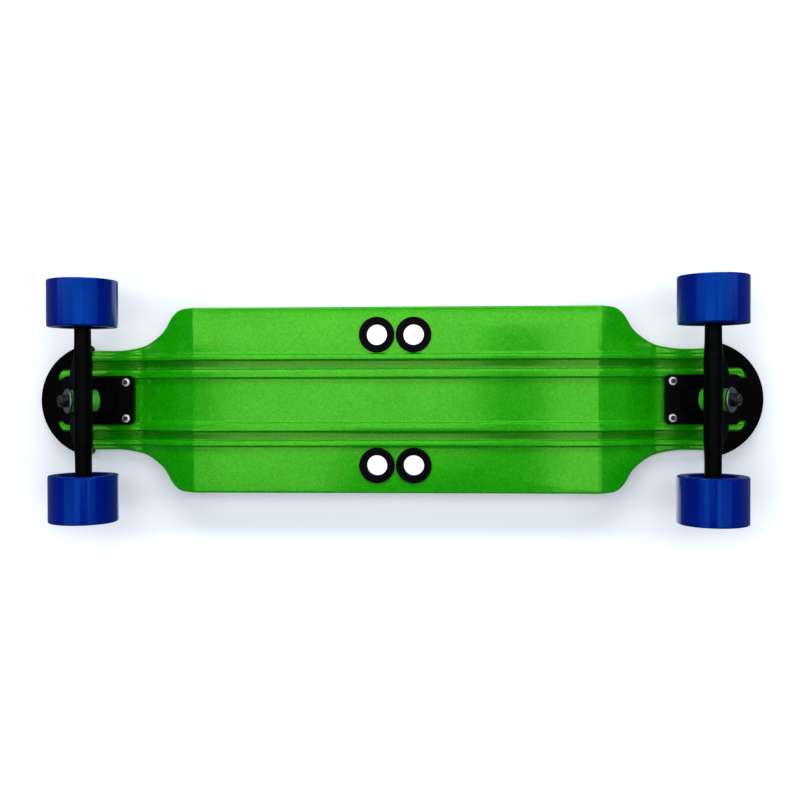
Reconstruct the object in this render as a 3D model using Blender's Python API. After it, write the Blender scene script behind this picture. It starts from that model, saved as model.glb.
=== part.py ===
"""Drop-deck longboard: deck with moulded ridges, two reverse-kingpin trucks, four wheels.

Metres, +Z up. The wheels stand on Z = 0, +X runs along the board towards its front
truck, Y is across, and X = Y = 0 is the middle of the board.
"""
import bpy
import bmesh
from math import sin, cos, pi, sqrt, acos, radians
from mathutils import Vector, Matrix

MM = 0.001
GAP = 0.3 * MM                 # clearance between pieces that touch

# ---- wheels and axles
WHEEL_R = 37.5 * MM
WHEEL_HALF = 25.5 * MM         # half of the wheel's width
WHEEL_Y = 106.0 * MM           # wheel centre plane from the board's centre line
WHEELBASE_HALF = 339.4 * MM    # axle from the middle of the board
AXLE_R = 4.0 * MM
AXLE_HALF = 126.0 * MM
HANGER_HALF = 90.0 * MM        # a 180 mm hanger
BEARING_R = 11.0 * MM
BEARING_W = 7.0 * MM
BEARING_IN_Y = 94.9 * MM       # centre of the inboard bearing
BEARING_OUT_Y = 111.9 * MM     # centre of the outboard bearing

# ---- truck, in the truck's own frame: x outboard, z towards the deck, axle at 0
BASE_FACE = 60.0 * MM          # baseplate's mounting face above the axle
BASE_T = 6.5 * MM
BASE_IN = -38.1 * MM           # inboard end
BASE_OUT = 44.6 * MM           # outboard end
BASE_HALF_W = 28.0 * MM
BASE_CORNER = 6.0 * MM
BOLT_IN = -30.4 * MM           # inner bolts
BOLT_SPACING = 53.98 * MM      # the common 2 1/8 in by 1 5/8 in pattern
BOLT_Y = 20.64 * MM
RING_C = Vector((12.4, 0, 30.5)) * MM      # centre of the bushing seat
KING_TILT = radians(50)                    # the kingpin leans this far from upright
KING = Vector((sin(KING_TILT), 0, -cos(KING_TILT)))    # along the kingpin, towards its nut
SEAT = Vector((cos(KING_TILT), 0, sin(KING_TILT)))     # in the seat's plane, outboard
PIVOT_DIST = 25.5 * MM                     # bushing seat centre to pivot tip
PIVOT_DIR = Vector((0.687, 0, 0.7267)).normalized()
RING_R = 15.0 * MM
BUSH_R = 12.2 * MM
KINGPIN_R = 4.75 * MM

# ---- deck
PLATE_T = 6.5 * MM
RIDGE_H = 5.0 * MM
NECK_Z = WHEEL_R + BASE_FACE + GAP + RIDGE_H    # flat underside at the necks
DROP = 25.0 * MM
RAMP_NECK_X = 291.0 * MM
RAMP_PLAT_X = 227.0 * MM
RAMP_BLEND = 14.0 * MM
NOSE_CX = 346.0 * MM
NOSE_R = 57.5 * MM
INNER_RIDGE = (25.1 * MM, 35.0 * MM)
OUTER_RIDGE = (45.2 * MM, 51.6 * MM)
RIDGE_END_R = 53.0 * MM
GRIP_T = 0.8 * MM

# half width of the deck along its length: neck, waist, shoulder, platform
SHOULDER = [(346.0, 57.5), (322.0, 57.2), (304.0, 59.4), (291.0, 62.8), (279.0, 69.1),
            (266.0, 79.5), (256.0, 94.5), (246.0, 102.4), (232.0, 104.4), (210.0, 104.5)]

# ---- grommets and guards
GROMMET_X = 20.6 * MM
GROMMET_Y = 73.1 * MM
GROMMET_HOLE = 11.4 * MM
GROMMET_R = 19.9 * MM
GROMMET_BARREL = 13.1 * MM
GUARD_R = 65.5 * MM
GUARD_X = 353.0 * MM
GUARD_LIP_R = 52.5 * MM


for ob in list(bpy.data.objects):
    bpy.data.objects.remove(ob, do_unlink=True)


# ------------------------------------------------------------------ helpers
def material(name, rgb, rough, metal):
    m = bpy.data.materials.new(name)
    m.use_nodes = True
    b = m.node_tree.nodes["Principled BSDF"]
    b.inputs["Base Color"].default_value = (rgb[0], rgb[1], rgb[2], 1)
    b.inputs["Roughness"].default_value = rough
    b.inputs["Metallic"].default_value = metal
    m.diffuse_color = (rgb[0], rgb[1], rgb[2], 1)
    return m


MATS = {
    "deck_paint": material("deck_paint", (0.07, 0.45, 0.02), 0.3, 0.3),
    "grip": material("grip", (0.02, 0.02, 0.02), 0.95, 0.0),
    "black_rubber": material("black_rubber", (0.015, 0.015, 0.015), 0.6, 0.0),
    "truck_paint": material("truck_paint", (0.01, 0.01, 0.012), 0.35, 0.2),
    "wheel_urethane": material("wheel_urethane", (0.0, 0.045, 0.4), 0.25, 0.0),
    "bushing_urethane": material("bushing_urethane", (0.05, 0.5, 0.03), 0.35, 0.0),
    "steel": material("steel", (0.6, 0.6, 0.6), 0.3, 1.0),
    "black_steel": material("black_steel", (0.03, 0.03, 0.03), 0.4, 0.8),
    "cup_plastic": material("cup_plastic", (0.03, 0.03, 0.03), 0.5, 0.0),
}


def frame_to(axis, origin=(0, 0, 0)):
    """Matrix that takes local +Z to the given axis and local Y to a level direction."""
    z = Vector(axis).normalized()
    y = Vector((0, 1, 0)) if abs(z.y) < 0.9 else Vector((1, 0, 0))
    x = y.cross(z).normalized()
    y = z.cross(x).normalized()
    m = Matrix((x, y, z)).transposed().to_4x4()
    m.translation = Vector(origin)
    return m


def mesh_object(name, bm, mat=None, matrix=None):
    if matrix is not None:
        bm.transform(matrix)
        if matrix.to_3x3().determinant() < 0:
            bmesh.ops.reverse_faces(bm, faces=bm.faces)
    bmesh.ops.recalc_face_normals(bm, faces=bm.faces)
    me = bpy.data.meshes.new(name)
    bm.to_mesh(me)
    bm.free()
    ob = bpy.data.objects.new(name, me)
    bpy.context.scene.collection.objects.link(ob)
    if mat:
        me.materials.append(MATS[mat])
    return ob


def lathe(profile, segs, phase=0.0):
    """Turned solid about Z from a closed (r, z) outline; points at r = 0 lie on the axis."""
    bm = bmesh.new()
    rings = []
    for r, z in profile:
        if r < 1e-9:
            rings.append([bm.verts.new((0, 0, z))])
        else:
            rings.append([bm.verts.new((r * cos(2 * pi * i / segs + phase), r * sin(2 * pi * i / segs + phase), z))
                          for i in range(segs)])
    n = len(rings)
    for j in range(n):
        a, b = rings[j], rings[(j + 1) % n]
        if len(a) == 1 and len(b) == 1:
            continue
        for i in range(segs):
            k = (i + 1) % segs
            if len(a) == 1:
                bm.faces.new((a[0], b[k], b[i]))
            elif len(b) == 1:
                bm.faces.new((a[i], a[k], b[0]))
            else:
                bm.faces.new((a[i], a[k], b[k], b[i]))
    return bm


def prism(points, z0, z1):
    bm = bmesh.new()
    lo = [bm.verts.new((x, y, z0)) for x, y in points]
    hi = [bm.verts.new((x, y, z1)) for x, y in points]
    bm.faces.new(list(reversed(lo)))
    bm.faces.new(hi)
    n = len(points)
    for i in range(n):
        k = (i + 1) % n
        bm.faces.new((lo[i], lo[k], hi[k], hi[i]))
    return bm


def hull(points):
    bm = bmesh.new()
    for p in points:
        bm.verts.new(p)
    res = bmesh.ops.convex_hull(bm, input=bm.verts)
    loose = [v for v in res["geom_interior"] if isinstance(v, bmesh.types.BMVert)]
    bmesh.ops.delete(bm, geom=list(set(loose)), context="VERTS")
    bmesh.ops.dissolve_limit(bm, angle_limit=radians(0.5), verts=bm.verts, edges=bm.edges)
    return bm


def cylinder(r, z0, z1, segs):
    return lathe([(0, z0), (r, z0), (r, z1), (0, z1)], segs)


def apply_boolean(target, cutter, op):
    md = target.modifiers.new("cut", "BOOLEAN")
    md.operation = op
    md.solver = "EXACT"
    md.object = cutter
    dg = bpy.context.evaluated_depsgraph_get()
    me = bpy.data.meshes.new_from_object(target.evaluated_get(dg))
    target.modifiers.clear()
    old = target.data
    me.name = old.name + "_solid"
    target.data = me
    bpy.data.meshes.remove(old)
    cm = cutter.data
    bpy.data.objects.remove(cutter, do_unlink=True)
    bpy.data.meshes.remove(cm)


def cut(target, bm, matrix=None):
    apply_boolean(target, mesh_object("cutter", bm, matrix=matrix), "DIFFERENCE")


def join(target, bm, matrix=None):
    apply_boolean(target, mesh_object("adder", bm, matrix=matrix), "UNION")


def keep(target, bm, matrix=None):
    apply_boolean(target, mesh_object("keeper", bm, matrix=matrix), "INTERSECT")


def finish(ob, mat, angle=30):
    """One material, tidy flat faces, smooth round faces."""
    me = ob.data
    bm = bmesh.new()
    bm.from_mesh(me)
    bmesh.ops.remove_doubles(bm, verts=bm.verts, dist=2e-6)
    bmesh.ops.dissolve_degenerate(bm, edges=bm.edges, dist=1e-6)
    bm.to_mesh(me)
    bm.free()
    me.materials.clear()
    me.materials.append(MATS[mat])
    me.shade_smooth()
    me.set_sharp_from_angle(angle=radians(angle))


def empty(name, loc, rot_z=0.0, parent=None):
    e = bpy.data.objects.new(name, None)
    bpy.context.scene.collection.objects.link(e)
    e.empty_display_size = 0.02
    e.location = loc
    e.rotation_euler = (0, 0, rot_z)
    e.parent = parent
    return e


def copy_of(mesh, name, mat, parent, loc=(0, 0, 0), rot=(0, 0, 0)):
    ob = bpy.data.objects.new(name, mesh)
    bpy.context.scene.collection.objects.link(ob)
    ob.parent = parent
    ob.location = loc
    ob.rotation_euler = rot
    return ob


def template(bm, mat, name, angle=30):
    """A finished mesh that copies share; its own object is removed."""
    ob = mesh_object(name, bm, mat)
    finish(ob, mat, angle)
    me = ob.data
    bpy.data.objects.remove(ob, do_unlink=True)
    return me


def template_of(ob, mat, angle=30):
    finish(ob, mat, angle)
    me = ob.data
    bpy.data.objects.remove(ob, do_unlink=True)
    return me


# ------------------------------------------------------------------ deck
def smooth_points(pts, steps):
    """Catmull-Rom curve through the points."""
    out = []
    n = len(pts)
    for i in range(n - 1):
        p0, p1, p2, p3 = pts[max(i - 1, 0)], pts[i], pts[i + 1], pts[min(i + 2, n - 1)]
        for s in range(steps):
            t = s / steps
            out.append(tuple(0.5 * ((2 * p1[k]) + (p2[k] - p0[k]) * t
                                    + (2 * p0[k] - 5 * p1[k] + 4 * p2[k] - p3[k]) * t * t
                                    + (3 * p1[k] - p0[k] - 3 * p2[k] + p3[k]) * t ** 3) for k in (0, 1)))
    out.append(pts[-1])
    return out


def deck_outline(inset=0.0, nose_r=NOSE_R, arc=8, steps=2):
    """Closed outline, counter-clockwise; the S shoulders are mirrored into four quarters."""
    last = arc if nose_r == NOSE_R else arc + 1     # a smaller nose meets the neck in a step
    quarter = [(NOSE_CX + (nose_r - inset) * cos(a), (nose_r - inset) * sin(a))
               for a in [pi / 2 * i / arc for i in range(last)]]
    curve = smooth_points([(x * MM, y * MM) for x, y in SHOULDER], steps)
    quarter += [(x, y - inset) for x, y in curve]
    pts = list(quarter)
    pts += [(-x, y) for x, y in reversed(quarter)]
    pts += [(-x, -y) for x, y in quarter[1:]]
    pts += [(x, -y) for x, y in reversed(quarter[1:])]
    return pts


def drop_at(x):
    """Height offset of the deck along its length: 0 at the necks, -DROP on the platform."""
    ax = abs(x)
    m = DROP / (RAMP_NECK_X - RAMP_PLAT_X)
    h = RAMP_BLEND / 2
    if ax >= RAMP_NECK_X + h:
        return 0.0
    if ax > RAMP_NECK_X - h:
        return -m / (2 * RAMP_BLEND) * (RAMP_NECK_X + h - ax) ** 2
    if ax >= RAMP_PLAT_X + h:
        return -m * (RAMP_NECK_X - ax)
    if ax > RAMP_PLAT_X - h:
        return -DROP + m / (2 * RAMP_BLEND) * (ax - (RAMP_PLAT_X - h)) ** 2
    return -DROP


def stations(end):
    h = RAMP_BLEND / 2
    half = [RAMP_PLAT_X - h + RAMP_BLEND * i / 3 for i in range(4)]
    half += [RAMP_NECK_X - h + RAMP_BLEND * i / 3 for i in range(4)]
    half.append(end)
    return [-x for x in reversed(half)] + half


def swept_bar(y0, y1, z0, z1, end, draft=0.0):
    """A bar along X, y0..y1 wide at z1 and narrower by the draft at z0, following the drop."""
    bm = bmesh.new()
    rows = []
    for x in stations(end):
        d = drop_at(x)
        rows.append([bm.verts.new((x, y0 + draft, z0 + d)), bm.verts.new((x, y1 - draft, z0 + d)),
                     bm.verts.new((x, y1, z1 + d)), bm.verts.new((x, y0, z1 + d))])
    for a, b in zip(rows, rows[1:]):
        for j in range(4):
            k = (j + 1) % 4
            bm.faces.new((a[j], b[j], b[k], a[k]))
    bm.faces.new(rows[0])
    bm.faces.new(list(reversed(rows[-1])))
    return bm


def disc_outline(cx, r, x_min, seg):
    """Part of a disc beyond x_min, closed by its chord."""
    a0 = acos((x_min - cx) / r)
    return [(cx + r * cos(-a0 + 2 * a0 * i / seg), r * sin(-a0 + 2 * a0 * i / seg)) for i in range(seg + 1)]


def guard_outline(seg=28, corner=6.0 * MM):
    """Half disc whose two corners at the chord are rounded."""
    yc = sqrt((GUARD_R - corner) ** 2 - (GUARD_X + corner - NOSE_CX) ** 2)
    cx = GUARD_X + corner
    a0 = acos((cx - NOSE_CX) / (GUARD_R - corner))
    pts = [(NOSE_CX + GUARD_R * cos(-a0 + 2 * a0 * i / seg), GUARD_R * sin(-a0 + 2 * a0 * i / seg)) for i in range(seg + 1)]
    pts += [(cx + corner * cos(a0 + (pi - a0) * i / 4), yc + corner * sin(a0 + (pi - a0) * i / 4)) for i in range(1, 5)]
    pts += [(cx + corner * cos(pi + (pi - a0) * i / 4), -yc + corner * sin(pi + (pi - a0) * i / 4)) for i in range(4)]
    return pts


deck = mesh_object("deck", swept_bar(-0.12, 0.12, NECK_Z, NECK_Z + PLATE_T, 0.42), "deck_paint")
keep(deck, prism(deck_outline(), 0.05, 0.13))
for side in (1, -1):
    y0, y1 = INNER_RIDGE if side > 0 else (-INNER_RIDGE[1], -INNER_RIDGE[0])
    ridge = mesh_object("ridge", swept_bar(y0, y1, NECK_Z - RIDGE_H, NECK_Z + 1.5 * MM, 0.41, 0.5 * MM))
    clip = [(NOSE_CX + RIDGE_END_R * cos(a), RIDGE_END_R * sin(a)) for a in [-pi / 2 + pi * i / 24 for i in range(25)]]
    clip += [(-x, y) for x, y in reversed(clip)]
    keep(ridge, prism(clip, 0.05, 0.13))
    apply_boolean(deck, ridge, "UNION")
    y0, y1 = OUTER_RIDGE if side > 0 else (-OUTER_RIDGE[1], -OUTER_RIDGE[0])
    join(deck, swept_bar(y0, y1, NECK_Z - RIDGE_H, NECK_Z + 1.5 * MM, GUARD_X - 1 * MM, 0.5 * MM))

BOLT_XY = []
for end in (1, -1):
    for bx in (BOLT_IN, BOLT_IN + BOLT_SPACING):
        for by in (BOLT_Y, -BOLT_Y):
            BOLT_XY.append((end * (WHEELBASE_HALF + bx), by))
NECK_TOP = NECK_Z + PLATE_T
GRIP_TOP = NECK_TOP + GAP + GRIP_T
for x, y in BOLT_XY:
    cut(deck, lathe([(0, 0.09), (2.8 * MM, 0.09), (2.8 * MM, NECK_TOP - 2.3 * MM), (5.2 * MM, NECK_TOP + 0.2 * MM),
                     (5.2 * MM, 0.12), (0, 0.12)], 10), Matrix.Translation((x, y, 0)))
GROMMETS = [("grommet_front_left", 1, 1), ("grommet_front_right", 1, -1),
            ("grommet_rear_left", -1, 1), ("grommet_rear_right", -1, -1)]
for _, sx, sy in GROMMETS:
    cut(deck, cylinder(GROMMET_BARREL + GAP, 0.06, 0.10, 20), Matrix.Translation((sx * GROMMET_X, sy * GROMMET_Y, 0)))
finish(deck, "deck_paint")

# ---- grip sheet on the standing surface
grip = mesh_object("grip_tape", swept_bar(-0.12, 0.12, NECK_TOP + GAP, GRIP_TOP, 0.42), "grip")
keep(grip, prism(deck_outline(1.5 * MM, GUARD_LIP_R + 0.6 * MM), 0.05, 0.13))
for x, y in BOLT_XY:
    cut(grip, cylinder(5.2 * MM, 0.09, 0.12, 10), Matrix.Translation((x, y, 0)))
for _, sx, sy in GROMMETS:
    cut(grip, cylinder(GROMMET_R + 0.6 * MM, 0.06, 0.10, 20), Matrix.Translation((sx * GROMMET_X, sy * GROMMET_Y, 0)))
finish(grip, "grip")

# ---- flanged rings in the four holes of the platform
PLAT_LO = NECK_Z - DROP
PLAT_HI = NECK_TOP - DROP
FL = 2.2 * MM
prof = [(GROMMET_HOLE, -FL - GAP), (GROMMET_R - 0.8 * MM, -FL - GAP), (GROMMET_R, -GAP), (GROMMET_BARREL, -GAP),
        (GROMMET_BARREL, PLATE_T + GAP), (GROMMET_R, PLATE_T + GAP), (GROMMET_R - 0.8 * MM, PLATE_T + GAP + FL),
        (GROMMET_HOLE, PLATE_T + GAP + FL)]
grommet_mesh = template(lathe(prof, 18), "black_rubber", "grommet")
for name, sx, sy in GROMMETS:
    copy_of(grommet_mesh, name, "black_rubber", None, (sx * GROMMET_X, sy * GROMMET_Y, PLAT_LO))

# ---- end guards: a half-round cup around the nose, with slots that clear the inner ridges
GUARD_LO = NECK_Z - RIDGE_H + 0.5 * MM
GUARD_HI = NECK_TOP + 3.2 * MM
outline = guard_outline()
guard = mesh_object("guard", prism(outline, GUARD_LO, GUARD_HI), "black_rubber")
cut(guard, prism([(0.33, -NOSE_R - GAP), (NOSE_CX, -NOSE_R - GAP)]
                 + [(NOSE_CX + (NOSE_R + GAP) * sin(pi * i / 24), -(NOSE_R + GAP) * cos(pi * i / 24)) for i in range(1, 24)]
                 + [(NOSE_CX, NOSE_R + GAP), (0.33, NOSE_R + GAP)], NECK_Z - GAP, NECK_TOP + GAP))
cut(guard, prism([(0.33, -GUARD_LIP_R), (NOSE_CX, -GUARD_LIP_R)]
                 + [(NOSE_CX + GUARD_LIP_R * sin(pi * i / 20), -GUARD_LIP_R * cos(pi * i / 20)) for i in range(1, 20)]
                 + [(NOSE_CX, GUARD_LIP_R), (0.33, GUARD_LIP_R)], NECK_TOP - 1 * MM, 0.13))
for side in (1, -1):
    ya, yb = INNER_RIDGE[0] - GAP, INNER_RIDGE[1] + GAP
    rr = RIDGE_END_R + GAP
    tip = [(NOSE_CX + sqrt(rr * rr - y * y), y) for y in [yb + (ya - yb) * i / 4 for i in range(5)]]
    pts = [(0.33, ya), (0.33, yb)] + tip
    cut(guard, prism([(x, side * y) for x, y in (pts if side < 0 else list(reversed(pts)))], 0.09, NECK_Z + 1 * MM))
    cut(guard, cylinder(2.8 * MM, 0.09, NECK_Z + 1 * MM, 12),
        Matrix.Translation((WHEELBASE_HALF + BOLT_IN + BOLT_SPACING, side * BOLT_Y, 0)))
guard_mesh = template_of(guard, "black_rubber")
copy_of(guard_mesh, "nose_guard", "black_rubber", None)
copy_of(guard_mesh, "tail_guard", "black_rubber", None, rot=(0, 0, pi))

# ------------------------------------------------------------------ truck, in its own frame
BASE_LO = BASE_FACE - BASE_T


def rounded_rect(x0, x1, hw, r, steps=3):
    pts = []
    for cx, cy, a0 in ((x1 - r, hw - r, 0), (x0 + r, hw - r, 90), (x0 + r, -hw + r, 180), (x1 - r, -hw + r, 270)):
        for i in range(steps + 1):
            a = radians(a0 + 90 * i / steps)
            pts.append((cx + r * cos(a), cy + r * sin(a)))
    return pts


def along_king(t):
    return frame_to(KING, RING_C + KING * t)


def ring_points(centre, axis, r, n=14):
    m = frame_to(axis, centre)
    return [m @ Vector((r * cos(2 * pi * i / n), r * sin(2 * pi * i / n), 0)) for i in range(n)]


PIVOT = RING_C + PIVOT_DIR * PIVOT_DIST
SEAT_T = 16.6 * MM              # board-side seat, measured from the ring centre

base = mesh_object("baseplate", prism(rounded_rect(BASE_IN, BASE_OUT, BASE_HALF_W, BASE_CORNER), BASE_LO, BASE_FACE))
seat_c = RING_C - KING * SEAT_T
block = ring_points(seat_c, KING, 13.2 * MM)
block += [Vector((x, y, BASE_LO + 3 * MM)) for x in (-24 * MM, 17 * MM) for y in (-13 * MM, 13 * MM)]
join(base, hull(block))
boss = ring_points(PIVOT - PIVOT_DIR * 4.5 * MM, PIVOT_DIR, 9.3 * MM, 12)
boss += [Vector((PIVOT.x + 9.5 * MM * cos(2 * pi * i / 12) + 2 * MM, 9.5 * MM * sin(2 * pi * i / 12), BASE_LO + 3 * MM))
         for i in range(12)]
join(base, hull(boss))
# two low ribs beside the kingpin block
for side in (1, -1):
    join(base, hull([Vector((x, side * y, z)) for x, y, z in (
        (-20 * MM, 13 * MM, BASE_LO + 2 * MM), (-20 * MM, 16 * MM, BASE_LO + 2 * MM), (14 * MM, 12 * MM, BASE_LO + 2 * MM),
        (14 * MM, 16 * MM, BASE_LO + 2 * MM), (-4 * MM, 9 * MM, BASE_LO - 9 * MM), (-4 * MM, 12 * MM, BASE_LO - 9 * MM),
        (4 * MM, 9 * MM, BASE_LO - 7 * MM), (4 * MM, 13 * MM, BASE_LO - 7 * MM))]))
cut(base, cylinder(KINGPIN_R + 0.35 * MM, -60 * MM, 5 * MM, 14), along_king(-SEAT_T))
# seat of the kingpin's head, open towards the deck so that the kingpin can be fitted
head = ring_points(RING_C - KING * 21.8 * MM, KING, 8.6 * MM) + ring_points(RING_C - KING * 27.4 * MM, KING, 8.6 * MM)
cut(base, hull(head + [Vector((p.x, p.y, BASE_FACE + 1 * MM)) for p in head]))
# flat seat: nothing stands in front of the board-side bushing
cut(base, cylinder(13.6 * MM, -SEAT_T, 0, 20), along_king(0))
cut(base, lathe([(0, -12 * MM), (7.2 * MM, -12 * MM)]
                + [(7.2 * MM * cos(a), 7.2 * MM * sin(a)) for a in [pi / 2 * i / 4 for i in range(4)]]
                + [(0, 7.2 * MM)], 14), frame_to(PIVOT_DIR, PIVOT))
for bx in (BOLT_IN, BOLT_IN + BOLT_SPACING):
    for side in (1, -1):
        cut(base, cylinder(2.8 * MM, 30 * MM, 70 * MM, 12), Matrix.Translation((bx, side * BOLT_Y, 0)))
        cut(base, cylinder(6.3 * MM, 30 * MM, BASE_LO, 12), Matrix.Translation((bx, side * BOLT_Y, 0)))
base_mesh = template_of(base, "truck_paint")

# pivot cup: a soft liner between the baseplate's socket and the hanger's pivot tip
cup = [(6.9 * MM, -4.0 * MM)] + [(6.9 * MM * cos(a), 6.9 * MM * sin(a)) for a in [pi / 2 * i / 3 for i in range(3)]]
cup += [(0, 6.9 * MM), (0, 5.6 * MM)]
cup += [(5.6 * MM * cos(a), 5.6 * MM * sin(a)) for a in [pi / 2 * i / 3 for i in range(2, -1, -1)]] + [(5.6 * MM, -4.0 * MM)]
cup_mesh = template(lathe(cup, 12), "cup_plastic", "pivot_cup")

# hanger: bar, ring, gusset and pivot tip in one casting
bar = [(0, -HANGER_HALF), (8.2 * MM, -HANGER_HALF), (8.8 * MM, -HANGER_HALF + 1.2 * MM), (9.1 * MM, -62 * MM),
       (10.0 * MM, -46 * MM), (10.0 * MM, 46 * MM), (9.1 * MM, 62 * MM), (8.8 * MM, HANGER_HALF - 1.2 * MM),
       (8.2 * MM, HANGER_HALF), (0, HANGER_HALF)]
hanger = mesh_object("hanger", lathe(bar, 18), matrix=frame_to((0, 1, 0)))
ring_pts = []
for u, w, ys in ((-12, 4.6, 14.0), (12.5, 4.6, 11.0)):
    for y in (-ys, ys):
        for k in (-w, w):
            p = RING_C + SEAT * u * MM + KING * k * MM
            ring_pts.append(Vector((p.x, y * MM, p.z)))
bar_pts = [Vector((x * MM, y * MM, z * MM)) for x, z in ((-5.5, 3.0), (8.2, 2.0), (1.0, 8.6)) for y in (-50, 50)]
# the body's road-side face, on both sides of the bushing's pocket
face_pts = [Vector((x * MM, k * y * MM, z * MM)) for x, y, z in ((22.5, 13, 17.5), (20.8, 31, 15), (14.0, 50, 8.5)) for k in (1, -1)]
join(hanger, hull(ring_pts + bar_pts + face_pts))
join(hanger, lathe([(0, -5.4 * MM), (RING_R, -5.4 * MM), (RING_R, 5.4 * MM), (0, 5.4 * MM)], 24), along_king(0))
join(hanger, lathe([(0, 8 * MM), (7.0 * MM, 8 * MM), (6.4 * MM, 16 * MM), (4.6 * MM, 20 * MM), (4.6 * MM, PIVOT_DIST - 2.4 * MM)]
                   + [(5.2 * MM * cos(a), PIVOT_DIST + 5.2 * MM * sin(a)) for a in [-0.48, -0.1, 0.35, 0.8, 1.2]]
                   + [(0, PIVOT_DIST + 5.2 * MM)], 12), frame_to(PIVOT_DIR, RING_C))
cut(hanger, lathe([(0, 3.3 * MM), (12.9 * MM, 3.3 * MM), (13.7 * MM, 5.5 * MM), (21.4 * MM, 14.6 * MM), (24.0 * MM, 34 * MM),
                   (0, 34 * MM)], 24), along_king(0))
cut(hanger, cylinder(12.9 * MM, -22 * MM, -3.3 * MM, 22), along_king(0))
cut(hanger, cylinder(7.2 * MM, -6 * MM, 6 * MM, 14), along_king(0))
cut(hanger, cylinder(AXLE_R + 0.35 * MM, -0.1, 0.1, 14), frame_to((0, 1, 0)))
hanger.data.transform(Matrix.Translation(-RING_C))
hanger_mesh = template_of(hanger, "truck_paint")

# axle with chamfered ends
axle_mesh = template(lathe([(0, -AXLE_HALF), (AXLE_R - 0.7 * MM, -AXLE_HALF), (AXLE_R, -AXLE_HALF + 0.8 * MM),
                            (AXLE_R, AXLE_HALF - 0.8 * MM), (AXLE_R - 0.7 * MM, AXLE_HALF), (0, AXLE_HALF)], 14),
                     "steel", "axle")

# kingpin, its bushings, cup washer and nut: all turned about the kingpin's line
kingpin_mesh = template(lathe([(0, -27 * MM), (7.6 * MM, -27 * MM), (8.0 * MM, -26.5 * MM), (8.0 * MM, -22.2 * MM),
                               (KINGPIN_R, -22.2 * MM), (KINGPIN_R, 26.5 * MM), (4.1 * MM, 27.2 * MM), (0, 27.2 * MM)], 14),
                        "black_steel", "kingpin")
BUSH_HOLE = KINGPIN_R + 0.45 * MM
bush_b_mesh = template(lathe([(BUSH_HOLE, -16.2 * MM), (BUSH_R - 0.8 * MM, -16.2 * MM), (BUSH_R, -15.2 * MM),
                              (BUSH_R, -4.4 * MM), (BUSH_R - 0.8 * MM, -3.6 * MM), (BUSH_HOLE, -3.6 * MM)], 16),
                       "bushing_urethane", "bushing_board")
bush_r_mesh = template(lathe([(BUSH_HOLE, 3.6 * MM), (BUSH_R - 0.6 * MM, 3.6 * MM), (BUSH_R, 4.2 * MM),
                              (BUSH_R, 11.5 * MM), (11.7 * MM, 16.2 * MM), (BUSH_HOLE, 16.2 * MM)], 16),
                       "bushing_urethane", "bushing_road")
washer_mesh = template(lathe([(BUSH_HOLE, 16.5 * MM), (12.7 * MM, 16.5 * MM), (12.9 * MM, 15.0 * MM), (13.9 * MM, 15.0 * MM),
                              (13.9 * MM, 17.0 * MM), (12.8 * MM, 18.1 * MM), (BUSH_HOLE, 18.1 * MM)], 16),
                       "steel", "washer")


def nut_mesh(name, mat, corner_r, hole_r, z0, z1, collar=0.0, segs=12):
    """Hexagon nut with chamfered outer end; the collar is the locking ring's height."""
    bm = bmesh.new()
    levels = [(z0, 1.0, 6), (z1 - collar - 0.5 * MM, 1.0, 6), (z1 - collar, 0.9, 6)]
    hexes = []
    for z, k, n in levels:
        hexes.append([bm.verts.new((corner_r * k * cos(pi / 3 * i), corner_r * k * sin(pi / 3 * i), z)) for i in range(6)])
    for a, b in zip(hexes, hexes[1:]):
        for i in range(6):
            bm.faces.new((a[i], a[(i + 1) % 6], b[(i + 1) % 6], b[i]))
    bm.faces.new(list(reversed(hexes[0])))
    bm.faces.new(hexes[-1])
    ob = mesh_object(name, bm)
    if collar:
        join(ob, cylinder(corner_r * 0.78, z0 + 1 * MM, z1, 12))
    cut(ob, cylinder(hole_r, z0 - 1 * MM, z1 + 1 * MM, segs))
    return template_of(ob, mat)


king_nut_mesh = nut_mesh("kingpin_nut", "steel", 8.25 * MM, KINGPIN_R + 0.45 * MM, 18.4 * MM, 25.6 * MM, 1.8 * MM)
axle_nut_mesh = nut_mesh("axle_nut", "steel", 7.4 * MM, AXLE_R + 0.4 * MM, 0, 6.6 * MM)
bolt_nut_mesh = nut_mesh("bolt_nut", "steel", 5.2 * MM, 2.8 * MM, 0, 4.6 * MM, segs=8)

# deck bolt: countersunk head with a drive recess, top at 0
BOLT_LEN = GRIP_TOP - 0.2 * MM - (WHEEL_R + BASE_LO - GAP - 4.6 * MM - 1.4 * MM)
bolt_mesh = template(lathe([(0, -BOLT_LEN), (2.0 * MM, -BOLT_LEN), (2.4 * MM, -BOLT_LEN + 0.5 * MM), (2.4 * MM, -3.4 * MM),
                            (4.5 * MM, -1.0 * MM), (4.5 * MM, 0), (1.9 * MM, 0), (1.6 * MM, -1.7 * MM), (0, -1.7 * MM)], 10),
                     "black_steel", "bolt")

# wheel: urethane body with a bearing seat on each side
W = WHEEL_HALF
b_in = BEARING_IN_Y - WHEEL_Y
b_out = BEARING_OUT_Y - WHEEL_Y
hw = BEARING_W / 2 + GAP
seat_r = BEARING_R + GAP
wheel_prof = [(12.2 * MM, b_in - hw - 1.0 * MM), (22.5 * MM, -W + 6.5 * MM), (27.0 * MM, -W),
              (35.6 * MM, -W), (WHEEL_R, -W + 2.4 * MM), (WHEEL_R, W - 2.4 * MM), (35.6 * MM, W),
              (28.0 * MM, W), (23.0 * MM, W - 7.5 * MM), (12.2 * MM, b_out + hw + 1.0 * MM),
              (seat_r, b_out + hw), (seat_r, b_out - hw), (8.6 * MM, b_out - hw), (8.6 * MM, b_in + hw),
              (seat_r, b_in + hw), (seat_r, b_in - hw)]
wheel_mesh = template(lathe(wheel_prof, 30), "wheel_urethane", "wheel")
bh = BEARING_W / 2
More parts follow.
